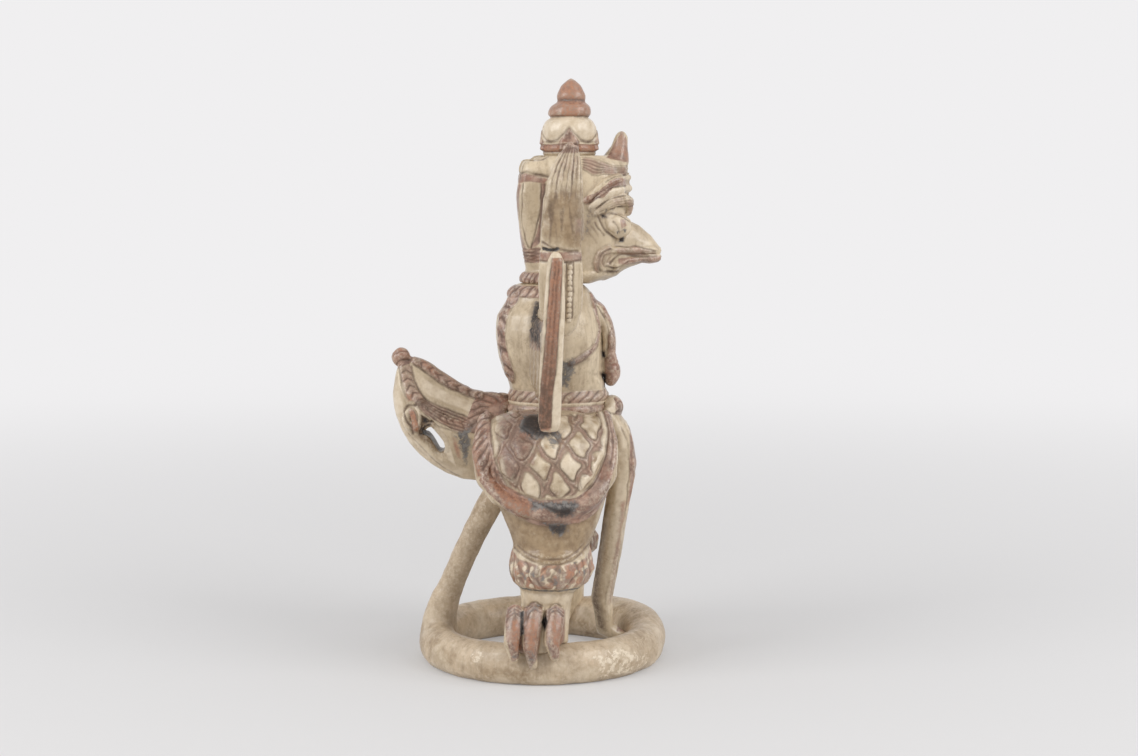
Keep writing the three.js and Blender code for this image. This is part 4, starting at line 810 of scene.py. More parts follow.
def carve_arm():
    arm = Block("right_arm", 0.4, rounds=24, weight=0.35)
    arm.paint(
        ("brown", FINGERTIPS, 0.4, 8), ("brown", FINGER_ENDS, 0.85, 3), ("ochre", PALM, 0.75, 14),
        ("brown", PALM_BLUSH, 0.5, 4), ("grime_and_shade", PALM_STAIN, 0.35, 6), ("brown", CUFF, 0.85, 1.5),
    )
    for line in between(FINGER_LEFT, FINGER_RIGHT, FINGER_CUTS):
        arm.groove(arm.along(line, 1.4), 0.7, 0.4, 0.65, FINGER_FADE)
    streaks = grain(arm.folded * PALM_GRAIN, 1.6, 4.7)
    arm.wash("grime_and_shade", 0.7 * arm.inside(PALM, 12) * ramp(streaks, 0.05, 0.5))
    # The slit under the palm gets a groove with grime and a black stripe: painted shadow in the gap
    slit = arm.along(PALM_SLIT, 1.6)
    arm.groove(slit, 1.1, 0.8, 1)
    arm.stripe("black", slit, 1.3)
    arm.cuts((PALM_SEAM, 0.9, 0.5, 0.8), (CUFF_LINE, 0.8, 0.4, 0.8), (ARM_BEAD_EDGES, 0.55, 0.35, 0.7))
    arm.beads(arm.along(ARM_BEADS, 1.2), 2.0, 0.45, "pale")
    arm.weather(0.1)
    arm.show("right_arm", "bone_paint")
    arm.show("left_arm", "bone_paint", mirror=True)


# Wing

RIB_EDGES = [
    [(552, 258), (549, 285), (546, 330), (542, 370), (539, 400), (538, 430)],
    [(563, 258), (562, 285), (559, 330), (556, 370), (552, 400), (551, 428)],
]
RIB_CENTRE = [*RIB_EDGES[0], *RIB_EDGES[1][::-1]]
RIB_FOOT = [(540, 396), (552, 396), (551, 432), (539, 432)]
RIB_LINES = [
    [(556, 262), (552, 300), (549, 340), (546, 380), (543, 420)],
    [(559, 262), (556, 300), (553, 340), (550, 380), (547, 420)],
]
WING_GAP_SHADOW = [(530, 306), (538, 300), (542, 318), (542, 354), (530, 341), (527, 328)]
WING_FLANK = [(524, 349), (542, 353), (540, 394), (522, 392)]
RIB_FACE = (46, 47.5)
RIB_FADE = (100, 150)
BARB_PITCH = 2.2
BARB_SLOPE = 0.5
BARB_HEIGHT = 0.12


def carve_wing():
    wing = Block("right_wing", 0.42, rounds=24, weight=0.3)
    y, z = wing.place[:, 1], wing.place[:, 2]
    rib = ramp(-y, *RIB_FACE)
    low = 1 - ramp(z, *RIB_FADE)
    centre = wing.inside(RIB_CENTRE, 1.2)
    # Painted shadow, in black and grime, in the gap between the wing and the body
    gap = 0.9 * wing.inside(WING_GAP_SHADOW, 4)
    flank = wing.inside(WING_FLANK, 3)
    flat = (1 - rib) * (1 - gap) * (1 - flank) * ramp(np.abs(wing.normal[:, 0]), 0.5, 0.8)
    barbs = np.cos(2 * np.pi * (z + BARB_SLOPE * y) / BARB_PITCH + 1.5 * grain(wing.place, 4.0, 8.8))
    wing.lift += BARB_HEIGHT * flat * barbs
    wing.coats["brown"] = np.maximum(0.55 * (1 - rib) * (1 - flank), 0.85 * centre)
    wing.coats["pale"] = 0.75 * rib * (1 - centre)
    wing.coats["ochre"] = 0.6 * (1 - rib)
    wing.coats["black"] = np.maximum(0.42 * (1 - rib) * (1 - flank), 0.8 * gap)
    wing.coats["orange"] = centre * 0.75
    wing.coats["grime_and_shade"] = np.maximum.reduce(
        (centre * (0.25 + 0.75 * low), 0.4 * flat * ramp(-barbs, 0.4, 0.9), gap, 0.25 * flank))
    wing.paint(("orange", RIB_FOOT, 0.85, 4))
    wing.cuts((RIB_EDGES, 0.6, 0.35, 0.7), (RIB_LINES, 0.7, 0.25, 0.6))
    wing.weather(0.1)
    wing.show("right_wing", "brown_paint")
    wing.show("left_wing", "brown_paint", mirror=True)


# Torso

COLLAR = (528, 292)
BACK_BAND = [(513, 300), (506, 309), (502, 320), (501, 331), (502, 346), (506, 361), (510, 374)]
BREAST_BAND = [(592, 300), (597, 318), (599, 330), (597, 342), (592, 350), (584, 357), (571, 364)]
CHEST_BAND = [(594, 296), (603, 308), (610, 320), (613, 334), (613, 350), (611, 359)]
CHEST_BAND_EDGE = [(592, 300), (601, 312), (607, 325), (609, 338), (607, 350)]
PENDANT = [(604, 358), (612, 356), (622, 368), (618, 384), (606, 386)]
PENDANT_SHADES = [
    [(601, 351), (606, 351), (606, 358), (602, 358)], [(600, 372), (607, 374), (607, 388), (600, 388)],
]
CHEST_TOP = [(584, 280), (602, 280), (606, 302), (594, 304)]
CHEST_TRIM = 1.2
BELT_FRONT = [(594, 378), (614, 378), (614, 400), (594, 400)]
BELT_SWELL = 1.3
BACK_SWELL = 0.7
BACK_ROWS = (305, 318, 366, 380)
BREAST_SHADE = [(566, 361), (586, 354), (589, 360), (570, 370)]
BELT_TWIST = (585, 397)
BELT_PALE = (585, 404)
BELT_ROLL = (585, 410)
BELLY_STAIN = [(558, 360), (575, 356), (577, 368), (569, 390), (559, 388)]
ARMPIT_SHADOW = [(535, 300), (544, 300), (544, 352), (534, 350), (529, 340), (530, 318)]


def carve_torso():
    torso = Block("torso", 0.5, rounds=50, weight=0.8, swell=0.25)
    z = {pixel: torso.spot(*pixel)[2] for pixel in (COLLAR, BELT_TWIST, BELT_PALE, BELT_ROLL)}
    # Painted shadows, in black and grime, round the pendant, under the arm and at the foot of the breast
    # band; the belly stain is a real stain
    torso.paint(
        ("brown", PENDANT, 0.85, 1.5), ("black", PENDANT_SHADES, 0.8, 2), ("grime_and_shade", PENDANT_SHADES, 1.0, 2),
        ("black", BELLY_STAIN, 0.75, 6), ("black", ARMPIT_SHADOW, 0.8, 4), ("grime_and_shade", ARMPIT_SHADOW, 0.9, 4),
        ("grime_and_shade", BREAST_SHADE, 0.6, 3),
    )
    torso.lift += BACK_SWELL * torso.rows(*BACK_ROWS) * ramp(-torso.normal[:, 0], 0.4, 0.9)
    torso.lift += BELT_SWELL * torso.inside(BELT_FRONT, 5) - CHEST_TRIM * torso.inside(CHEST_TOP, 6)
    torso.roll(torso.along(CHEST_BAND, 2.1, TO_FRONT), 4.2, 0.6, "brown", 0.8)
    torso.settle()
    torso.leafage(torso.along(BACK_BAND, 3.5), 7.0, 1.2, 6.0, 0.85)
    torso.rolls((BREAST_BAND, 2.1, 0.6, "brown", 0.9))
    collar = torso.level(z[COLLAR], 2.3, NECK_AXIS)
    torso.rope(collar, 4.4, 0.6, 3.2, share=behind(torso.place[collar.pick, 0]))
    torso.rope(torso.level(z[BELT_TWIST], 2.4, NECK_AXIS), 4.6, 0.4, 4.2, 1.3, 0.6)
    torso.roll(torso.level(z[BELT_PALE], 0.8, NECK_AXIS), 1.3, 0.3, "pale")
    torso.roll(torso.level(z[BELT_ROLL], 1.6, NECK_AXIS), 3.0, 0.6, "brown", 0.8)
    torso.cuts((CHEST_BAND_EDGE, 0.7, 0.35, 0.8))
    torso.weather(0.12)
    torso.show("torso", "bone_paint")


# Leg

SCALE_ORIGIN = (561, 425)
SCALE_HALF = (15, 21)
SCALE_LEAN = 0.22
SCALE_STRAP = 0.78
SCALE_WAVER = 4.0
SCALE_FIELD = [
    (496, 412), (530, 404), (562, 414), (600, 413), (604, 430), (603, 448), (592, 476), (576, 496),
    (540, 499), (508, 486), (494, 458),
]
RIM_INNER = [
    (492, 402), (491, 436), (496, 464), (508, 486), (521, 495), (540, 500), (575, 498), (590, 488),
    (600, 470), (606, 452), (608, 430), (603, 412),
]
RIM_OUTER = [
    (484, 394), (473, 412), (470, 438), (474, 462), (481, 478), (490, 490), (506, 506), (522, 515),
    (541, 521), (562, 521), (581, 517), (596, 507), (608, 489), (616, 463), (617, 438), (613, 418),
    (606, 408),
]
RIM = [*RIM_INNER, *RIM_OUTER[::-1]]
RIM_LIP = [
    (481, 480), (490, 491), (506, 507), (522, 517), (541, 523), (562, 523), (581, 519), (596, 509),
    (608, 491),
]
RIM_BRAID = [(487, 402), (482, 414), (480, 436), (484, 458), (491, 474)]
RIM_RUST = [
    [(488, 480), (508, 486), (530, 499), (531, 518), (506, 507)],
    [(576, 507), (600, 480), (614, 462), (608, 490), (582, 518)],
    [(471, 444), (476, 446), (482, 476), (477, 478)],
]
RIM_RUST_AMOUNTS = (0.95, 0.35, 0.85)
FRONT_STRIP = [(600, 414), (604, 430), (603, 447), (598, 462), (590, 476), (580, 487)]
FRONT_FOLD = [(608, 416), (612, 432), (613, 448), (610, 464)]
SKIRT_CHIPS = [
    (529, 498), (546, 501), (576, 500), (580, 506), (572, 517), (560, 520), (547, 511), (531, 511),
]
SKIRT_DARK = [(541, 503), (560, 507), (574, 505), (572, 515), (560, 518), (545, 510)]
SCALE_HIGHLIGHT = [(561, 457), (572, 449), (580, 464), (573, 479), (563, 470)]
SCALE_CHIPS = [(543, 430), (566, 432), (561, 447), (551, 453)]
CONE_CHIPS = [(542, 522), (569, 522), (568, 533), (559, 538), (550, 534)]
RIB_SHADE = [(525, 400), (548, 400), (548, 428), (562, 430), (556, 438), (530, 440), (517, 430)]
BACK_SHADE = [
    (498, 420), (520, 404), (541, 404), (541, 434), (530, 462), (520, 484), (506, 480), (497, 452),
]
CONE = [
    (493, 500), (520, 519), (558, 525), (598, 509), (593, 540), (584, 555), (560, 566), (532, 562),
    (514, 548), (507, 530),
]
CONE_LINE = [(514, 548), (522, 555), (532, 561), (545, 565), (558, 565), (571, 561), (581, 554), (588, 544)]
CONE_EDGE = [(518, 546), (526, 553), (537, 558), (552, 560), (566, 558), (576, 552), (584, 543)]
RUFF_TOP = (552, 566)
RUFF_FOOT = (552, 591)
RUFF_AXIS = (9.2, -33.5)
RUFF_FRONT = -48
RUFF_TOP_SLOPE = 0.3
RUFF_LOBES = 17
RUFF_SPOTS = [
    [(519, 571), (528, 571), (529, 581), (520, 580)], [(538, 572), (545, 572), (546, 582), (539, 583)],
    [(552, 577), (561, 578), (560, 587), (553, 586)], [(579, 567), (588, 567), (588, 576), (580, 576)],
]
SHANK = [(522, 592), (580, 590), (580, 632), (564, 632), (564, 606), (524, 604)]
CLAW_ARCHES = [
    [(506, 616), (509, 609), (515, 606), (521, 609)], [(526, 612), (529, 605), (535, 602), (542, 606)],
    [(548, 613), (551, 606), (557, 604), (564, 610)],
]
CLAW_FOLDS = [[(u, v + drop) for u, v in arch] for arch in CLAW_ARCHES for drop in (0, 3.5, 7)]
CLAWS = [
    [(504, 608), (512, 604), (522, 606), (522, 640), (525, 656), (512, 662), (506, 640)],
    [(523, 608), (533, 602), (543, 607), (541, 634), (538, 658), (530, 670), (523, 650)],
    [(545, 610), (556, 604), (565, 610), (565, 638), (562, 658), (552, 660), (546, 642)],
]
CLAW_NAILS = [
    [(511, 620), (519, 618), (520, 640), (521, 650), (515, 652), (511, 640)],
    [(527, 618), (540, 616), (538, 636), (534, 654), (528, 654), (525, 636)],
    [(550, 620), (562, 616), (563, 640), (560, 652), (553, 644)],
]
CLAW_GREY = [
    [(505, 604), (521, 604), (517, 618), (506, 618)], [(546, 636), (552, 634), (553, 658), (547, 657)],
    [(525, 602), (541, 602), (540, 614), (526, 614)], [(526, 650), (538, 650), (534, 668), (527, 664)],
    [(547, 604), (565, 606), (563, 614), (548, 614)], [(511, 648), (524, 650), (524, 660), (512, 662)],
]
CLAW_GAP_SHADOWS = [
    [(520, 612), (524, 610), (524, 634), (520, 636)],
    [(541, 622), (546, 615), (548, 622), (545, 631)],
]
LEFT_STEP = 6.5
LEFT_RUFF_SHADE = 0.7
STEP_EASE = (27, 55)
CLAW_TOP = (26, 31)
THIGH_FOOT = (50, 56)
RIM_HEIGHT = 0.5


def leg_weight(x, y, z):
    """Strong smoothing on the thigh, some on the claws and little on the ruff."""
    return 0.1 + 0.25 * (1 - ramp(z, *CLAW_TOP)) + 0.8 * ramp(z, *THIGH_FOOT)


def scales(leg):
    """Lattice of pointed scales that overlap downwards, with straps between them."""
    field = leg.inside(SCALE_FIELD, 2)
    pick = np.flatnonzero(field > 0.01)
    sway = np.column_stack([grain(leg.folded[pick], 5.5, seed) for seed in (1.1, 6.6)])
    place = leg.seen[pick] - SCALE_ORIGIN + SCALE_WAVER * sway
    across = (place[:, 0] - SCALE_LEAN * place[:, 1]) / SCALE_HALF[0]
    down = place[:, 1] / SCALE_HALF[1]
    cells = [(way + 1) // 2 for way in (across + down, across - down)]
    first, second = [way - 2 * cell for way, cell in zip((across + down, across - down), cells)]
    reach = (first ** 4 + second ** 4) ** 0.25
    tip = 0.5 * (first - second)
    low = ramp(tip, -0.5, 0.3)
    share = field[pick]
    cushion = np.clip(1 - (reach / SCALE_STRAP) ** 2, 0, 1)
    cut = np.exp(-((reach - SCALE_STRAP) / 0.08) ** 2) * (0.35 + 0.65 * low)
    seam = np.exp(-((np.maximum(abs(first), abs(second)) - 1) / 0.07) ** 2) * low
    leg.lift[pick] += share * (0.55 * cushion + 0.35 * tip - 0.4 * cut - 0.3 * seam)
    leg.coat("grime_and_shade", pick, share * np.clip(0.75 * cut + 0.6 * seam, 0, 1))
    tint = np.sin(12.9 * cells[0] + 78.2 * cells[1]) + 2 * grain(leg.folded[pick], 3.0, 2.7)
    inner = ramp(-reach, -SCALE_STRAP - 0.1, -SCALE_STRAP + 0.1)
    leg.coat("brown", pick, share * (0.62 - inner * (0.5 - 0.2 * tint)))
    leg.coat("ochre", pick, share * inner * (0.2 + 0.3 * tint))
    leg.coat("pale", pick, share * inner * (0.5 - 0.35 * tint))


def ruff(leg):
    """Puffy feathers round the top of the shank."""
    x, y, z = leg.folded.T
    top = leg.spot(*RUFF_TOP)[2] + RUFF_TOP_SLOPE * (y - RUFF_FRONT)
    foot = leg.spot(*RUFF_FOOT)[2]
    rise = (z - foot) / (top - foot)
    angle = np.arctan2(x - RUFF_AXIS[0], RUFF_AXIS[1] - y)
    blot = {size: grain(leg.folded, size, seed) for size, seed in ((5.0, 4.4), (3.0, 2.2), (2.2, 9.1))}
    turn = RUFF_LOBES * angle / (2 * np.pi) + 0.3 * np.sin(4 * rise + 3 * angle) + 0.5 * blot[5.0]
    aside = turn - np.round(turn)
    on = ramp(rise, -0.02, 0.1) * (1 - ramp(rise, 0.96, 1.06))
    bulge = np.sin(np.pi * np.clip(0.12 + 0.7 * rise, 0, 1))
    leg.lift += on * (0.5 * np.cos(np.pi * aside) * bulge - 0.2)
    crease = np.exp(-((0.5 - np.abs(aside)) / 0.1) ** 2)
    leg.wash("grime_and_shade", on * 0.4 * crease)
    # The black band at the ruff's foot is painted shadow under the feathers
    leg.wash("black", 0.85 * np.exp(-(rise / 0.06) ** 2))
    leg.wash("brown", on * (0.65 - 0.5 * ramp(blot[2.2], 0.0, 0.35)))
    leg.wash("orange", on * 0.65 * ramp(blot[3.0], -0.05, 0.3))
    leg.wash("pale", on * 0.9 * ramp(blot[2.2], 0.0, 0.35))
    leg.wash("black", on * 0.6 * ramp(-blot[3.0], 0.3, 0.5))
    return on


def carve_leg():
    leg = Block("right_leg", 0.46, rounds=60, weight=leg_weight, swell=0.25)
    scales(leg)
    # The cone's darker ochre is partly ochre paint and partly painted shade under the thigh; the back of the
    # thigh gets browner paint with painted shade; the pale patch on one scale is a painted highlight
    leg.paint(
        ("ochre", CONE, 0.95, 4), ("black", SKIRT_CHIPS, 0.9, 6), ("black", SCALE_CHIPS, 0.7, 6),
        ("black", CONE_CHIPS, 0.85, 6), ("grime_and_shade", CONE_CHIPS, 0.85, 6), ("grime_and_shade", SKIRT_DARK, 0.95, 6),
        ("pale", SCALE_HIGHLIGHT, 1.0, 4), ("brown", BACK_SHADE, 0.75, 10), ("grime_and_shade", BACK_SHADE, 0.45, 12),
        ("pale", SHANK, 0.6, 3), ("brown", RIM, 0.9, 1.5),
    )
    for rust, amount in zip(RIM_RUST, RIM_RUST_AMOUNTS):
        leg.paint(("orange", rust, amount, 4), ("grime_and_shade", rust, 0.4 * amount, 4))
    # Painted shadow of the wing on the thigh, in black and grime, on faces turned to the camera
    shade = 0.95 * leg.inside(RIB_SHADE, 9) * ramp(-leg.normal[:, 1], 0.0, 0.3)
    for coat in ("black", "grime_and_shade"):
        leg.wash(coat, shade)
    leg.lift += RIM_HEIGHT * leg.inside(RIM, 1.2)
    leg.settle()
    leg.rope(leg.along(RIM_BRAID, 3.7), 7.4, 0.8, 3.6, 1.5)
    leg.rolls((FRONT_STRIP, 2.6, 0.4, "pale", 0.8), (RIM_LIP, 2.2, 0.3, "brown"))
    leg.cuts(
        (FRONT_FOLD, 0.7, 0.3, 0.6), (RIM_INNER, 0.9, 0.4, 0.6), (CONE_LINE, 0.7, 0.25, 0.45),
        (CONE_EDGE, 0.7, 0.25, 0.45), (CLAW_FOLDS, 0.6, 0.3, 0.55),
    )
    feathers = ruff(leg)
    # The black and grime between the claws are painted shadow
    leg.paint(
        ("black", RUFF_SPOTS, 0.6, 4), ("brown", CLAWS, 0.85, 2), ("orange", CLAW_NAILS, 0.75, 3),
        ("grime_and_shade", CLAW_NAILS, 0.25, 3), ("black", CLAW_GREY, 0.55, 4), ("black", CLAW_GAP_SHADOWS, 1.0, 1.5),
        ("grime_and_shade", CLAW_GAP_SHADOWS, 1.0, 1.5),
    )
    leg.weather(0.14)
    leg.show("right_leg", "bone_paint")
    # The far leg's ruff is painted darker with the grime coat: painted shade
    leg.wash("grime_and_shade", LEFT_RUFF_SHADE * feathers)
    ahead = LEFT_STEP * (1 - ramp(leg.place[:, 2], *STEP_EASE))
    leg.show("left_leg", "bone_paint", mirror=True, ahead=ahead)


# Tail

TAIL_KNOB = [(391, 345), (409, 345), (414, 356), (410, 364), (398, 369), (391, 368)]
KNOB_CUTS = [[(396, 353), (403, 351), (409, 352)], [(396, 366), (400, 361), (410, 360)]]
SPINE_EDGE = [(414, 364), (425, 371), (435, 379), (448, 388), (458, 391), (466, 396), (481, 399)]
SPINE_TOP = [(413, 350), (426, 352), (440, 363), (458, 376), (470, 382), (484, 388)]
SPINE = [*SPINE_EDGE, *SPINE_TOP[::-1]]
SPINE_BRAID = [(415, 360), (426, 366), (437, 375), (449, 384), (460, 388), (470, 393), (481, 396)]
BAND_BRAID = [(406, 367), (408, 380), (413, 393), (420, 402)]
BAND_EDGES = [
    [(399, 369), (402, 385), (406, 397), (412, 403)], [(412, 366), (415, 380), (421, 393), (430, 402)],
]
BAND = [*BAND_EDGES[0], *BAND_EDGES[1][::-1]]
FAN_TOP = [(424, 397), (434, 404), (448, 409), (470, 418)]
FAN_FOOT = [(416, 406), (427, 416), (440, 427), (462, 434)]
FAN_LINES = between(FAN_TOP, FAN_FOOT, 7)
FAN = [*FAN_TOP, (471, 430), *FAN_FOOT[::-1]]
FAN_PLAITS = [[(418, 402), (428, 408), (440, 413)], [(436, 415), (448, 420), (466, 424)]]
BULB = [(405, 393), (413, 393), (414, 401), (408, 402)]
VOLUTE_OUTER = [(416, 405), (408, 406), (404, 412), (406, 420), (411, 426), (413, 434)]
VOLUTE_DROP = [(412, 412), (414, 420), (415, 430)]
VOLUTE_EDGE = [(417, 408), (420, 416), (419, 428)]
VOLUTE_SPOT = [(406, 413), (411, 413), (411, 420), (407, 420)]
HOLLOW = [(419, 414), (433, 423), (446, 444), (449, 457), (434, 454), (417, 437)]
HOLLOW_SHADOW = [(421, 415), (433, 423), (431, 434), (427, 440), (419, 436)]
BEAM = [(434, 424), (440, 428), (450, 446), (457, 467), (448, 460), (441, 443)]
TAIL_FLANK = [
    (418, 374), (432, 384), (450, 394), (472, 402), (470, 412), (448, 404), (430, 396), (422, 390),
]
TAIL_STAIN = [(453, 432), (471, 426), (472, 446), (467, 466), (460, 454)]
TAIL_RUST = [(449, 435), (457, 436), (464, 464), (456, 458)]
HULL_EDGE = [(409, 434), (425, 451), (440, 465), (455, 474), (470, 481)]
SLOT_MIDDLE = (436, 437)
SLOT_WALL = (18, 24)
SLOT_UNDER = (20, 24)
SLOT_FILL = 1.4
HOLLOW_CUT = 1.0
SPINE_HEIGHT = 0.3
SLOT_SHIFT = (0.1, 0.0, 1.2)
SLOT_CORE = (10, 19)
SPINE_MIDDLE = (443, 371)
SPINE_DIP = 0.8
SPINE_REACH = 16
HULL_SWELL = 0.4
ROOT_END = [(494, 378), (512, 378), (512, 410), (494, 410)]
ROOT_REACH = 1.8
ROOT = [(484, 397), (507, 390), (507, 424), (486, 416)]
SPINE_RUST = [(416, 356), (430, 362), (442, 374), (438, 380), (424, 368)]
HULL = [
    (398, 376), (404, 400), (410, 432), (440, 462), (472, 470), (472, 484), (440, 474), (404, 440),
    (390, 404),
]
ROOT_BRAID = [(505, 394), (492, 397), (483, 403), (477, 414), (474, 426)]


def carve_tail():
    tail = Block("tail", 0.42, rounds=30, weight=0.3)
    # In the slot, the upper hollow is painted shadow in black and grime, and the wall below is ochre with a
    # little painted shade
    tail.paint(
        ("brown", TAIL_KNOB, 0.95, 1.5), ("orange", TAIL_KNOB, 0.4, 3), ("brown", SPINE, 0.6, 1.5),
        ("orange", SPINE_RUST, 0.6, 3), ("brown", BAND, 0.5, 1.5), ("brown", FAN, 0.65, 2),
        ("orange", BULB, 0.6, 2), ("black", VOLUTE_SPOT, 0.6, 3), ("ochre", HOLLOW, 0.9, 3),
        ("grime_and_shade", HOLLOW, 0.35, 3), ("grime_and_shade", HOLLOW_SHADOW, 1.0, 3), ("black", HOLLOW_SHADOW, 0.7, 3),
        ("pale", BEAM, 0.8, 2), ("pale", TAIL_FLANK, 1.0, 4), ("black", TAIL_STAIN, 0.8, 6),
        ("orange", TAIL_RUST, 0.6, 4), ("brown", ROOT, 0.85, 2), ("pale", HULL, 0.8, 4),
    )
    from_slot = np.linalg.norm(tail.seen - SLOT_MIDDLE, axis=1)
    from_spine = np.linalg.norm(tail.seen - SPINE_MIDDLE, axis=1)
    fore, aside, up = tail.normal.T
    wall = (1 - ramp(np.abs(aside), 0.4, 0.8)) * (1 - ramp(from_slot, *SLOT_WALL))
    under = ramp(-fore - up, 0.3, 0.9) * ramp(from_slot, *SLOT_UNDER)
    upper = ramp(up, 0.1, 0.5) * np.exp(-(from_spine / SPINE_REACH) ** 2)
    tail.lift += SLOT_FILL * wall + HULL_SWELL * under - SPINE_DIP * upper
    tail.lift += SPINE_HEIGHT * tail.inside(SPINE, 1) - HOLLOW_CUT * tail.inside(HOLLOW_SHADOW, 2)
    tail.place += np.outer(1 - ramp(from_slot, *SLOT_CORE), SLOT_SHIFT)
    tail.place[:, 0] += ROOT_REACH * tail.inside(ROOT_END, 8) * ramp(fore, 0.2, 0.7)
    tail.settle()
    for lines, wide, high, pitch, amount in (
        (SPINE_BRAID, 3.4, 0.7, 4.4, 0.7), (BAND_BRAID, 4.2, 0.7, 3.4, 0.6),
        (FAN_PLAITS, 3.0, 0.5, 3.0, 0.65),
    ):
        for pixels in each(lines):
            tail.leafage(tail.along(pixels, wide / 2), wide, high, pitch, amount)
    tail.rope(tail.along(ROOT_BRAID, 3.3), 6.6, 0.5, 3.6, 1.5)
    tail.rolls((VOLUTE_DROP, 3.0, 0.6, "brown"), (VOLUTE_EDGE, 1.4, 0.4, "pale"))
    tail.stripe("orange", tail.along(VOLUTE_DROP, 1.6), 2.6, 0.7)
    tail.cuts(
        (SPINE_EDGE, 0.7, 0.35, 0.75), (BAND_EDGES, 0.7, 0.35, 0.75), (FAN_LINES, 0.75, 0.4, 0.7),
        (KNOB_CUTS, 0.8, 0.4, 0.7), (VOLUTE_OUTER, 1.0, 0.7, 1), (HULL_EDGE, 0.7, 0.2, 0.4),
    )
    tail.weather(0.12)
    tail.show("tail", "bone_paint")


# Sash

SASH_EDGE = [(626, 424), (632, 440), (634, 470), (631, 510), (625, 550), (620, 590), (617, 620)]
SASH_LINE = [(622, 428), (628, 446), (629, 475), (625, 515), (619, 555), (614, 595)]
SASH_FOLDS = [[(606, 416), (612, 428), (616, 446), (618, 470)], [(611, 415), (618, 428), (622, 448)]]
SASH_DARK = [(609, 505), (603, 505), (594, 560), (592, 600), (598, 630), (606, 630), (601, 600), (603, 560)]
SASH_STAIN = [
    (622, 500), (630, 500), (624, 540), (619, 575), (614, 604), (608, 604), (612, 575), (617, 540),
]
SASH_SHADE = [(606, 470), (614, 470), (614, 540), (606, 600), (598, 600), (602, 540)]
SASH_BODY = [(611, 418), (626, 420), (631, 470), (623, 540), (614, 600), (609, 600), (616, 520), (616, 470)]
SASH_STRIP = [
    (628, 424), (640, 430), (642, 470), (634, 560), (626, 632), (616, 632), (621, 590), (632, 480),
]
SASH_SHIFT = 0.8
SASH_ROWS = (440, 470, 590, 625)
KNOT_LOOP = [(603, 398), (614, 397), (620, 404), (617, 414), (606, 412)]
KNOT_LOOP_EDGE = [(604, 410), (610, 414), (617, 413), (620, 405), (614, 398)]
KNOT_END = [(614, 397), (622, 398), (626, 406), (623, 416), (616, 415)]
KNOT_SPIRAL = [(617, 412), (622, 411), (624, 405), (620, 401), (617, 404), (619, 407)]


def carve_sash():
    sash = Block("sash", 0.44, rounds=30, weight=0.4)
    # On the sash's left side the ochre is painted shade, and the dark edge is dark paint with painted shade
    sash.paint(
        ("brown", SASH_STRIP, 0.8, 2), ("pale", KNOT_LOOP, 0.6, 2), ("brown", KNOT_END, 0.8, 2),
        ("grime_and_shade", SASH_DARK, 0.85, 4), ("brown", SASH_STAIN, 0.55, 4), ("grime_and_shade", SASH_STAIN, 0.1, 5),
        ("ochre", SASH_SHADE, 0.5, 6), ("pale", SASH_BODY, 0.6, 4),
    )
    sash.place[:, 0] -= SASH_SHIFT * sash.rows(*SASH_ROWS)
    sash.settle()
    # The pale on the folds is partly a painted highlight
    sash.rolls((SASH_EDGE, 1.8, 0.35, "pale", 0.6), (SASH_FOLDS, 2.4, 0.3, "pale", 0.5))
    sash.cuts((SASH_LINE, 0.9, 0.25, 0.4), (KNOT_LOOP_EDGE, 0.7, 0.35, 0.7), (KNOT_SPIRAL, 0.7, 0.35, 0.7))
    sash.weather(0.12)
    sash.show("sash", "bone_paint")


# Naga

RING_CHIPS = [(588, 654), (622, 645), (652, 650), (656, 664), (640, 676), (600, 682)]
RING_RUBBED = [
    [(468, 650), (484, 650), (484, 664), (470, 664)],
    [(604, 648), (640, 652), (634, 666), (610, 662)],
]
RING_STAINS = [
    [(480, 664), (530, 668), (530, 684), (480, 680)],
    [(424, 622), (444, 628), (440, 668), (426, 660)],
]
RING_TOP = (25, 30)
RING_BACK = (-20, 10)
RING_LIFT = 0.7
RING_CORNER = ((15, 40), (-6, 20))
RING_RISE = 2.5
RING_WAVE = 0.25
PROP_FOOT = (14, 30)
PROP_SHIFT = 0.3
PROP_RISE = (40, 60)
PROP_SWELL = 0.3


def carve_naga():
    naga = Block("naga_base", 0.6, rounds=40, weight=0.7)
    naga.paint(
        ("scuff", RING_CHIPS, 0.62, 10), ("scuff", RING_RUBBED, 0.7, 6), ("ochre", RING_STAINS, 0.6, 8),
    )
    naga.wash("pale", 0.5 * ramp(grain(naga.place, 13.0, 5.2), 0.0, 0.4))
    naga.wash("ochre", 0.5 * ramp(grain(naga.place, 9.0, 1.7), 0.1, 0.45))
    x, y, z = naga.place.T
    naga.lift += RING_WAVE * grain(naga.place, 14.0, 3.1) + PROP_SWELL * ramp(z, *PROP_RISE)
    low = (1 - ramp(z, *RING_TOP)) * ramp(naga.normal[:, 2], -0.5, 0.1)
    corner = ramp(x, *RING_CORNER[0]) * ramp(y, *RING_CORNER[1])
    naga.lift += low * (RING_LIFT * ramp(y, *RING_BACK) + RING_RISE * corner)
    naga.place[:, 0] -= PROP_SHIFT * ramp(z, *PROP_FOOT)
    naga.weather(0.18)
    naga.show("naga_base", "earth_paint")


for carve in (
    carve_crown, carve_head, carve_arm, carve_wing, carve_torso, carve_leg, carve_tail, carve_sash,
    carve_naga,
):
    carve()

for name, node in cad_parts.items():
    if name.endswith("dowel"):
        node.data.materials.clear()
        node.data.materials.append(dowel_wood)

# Studio

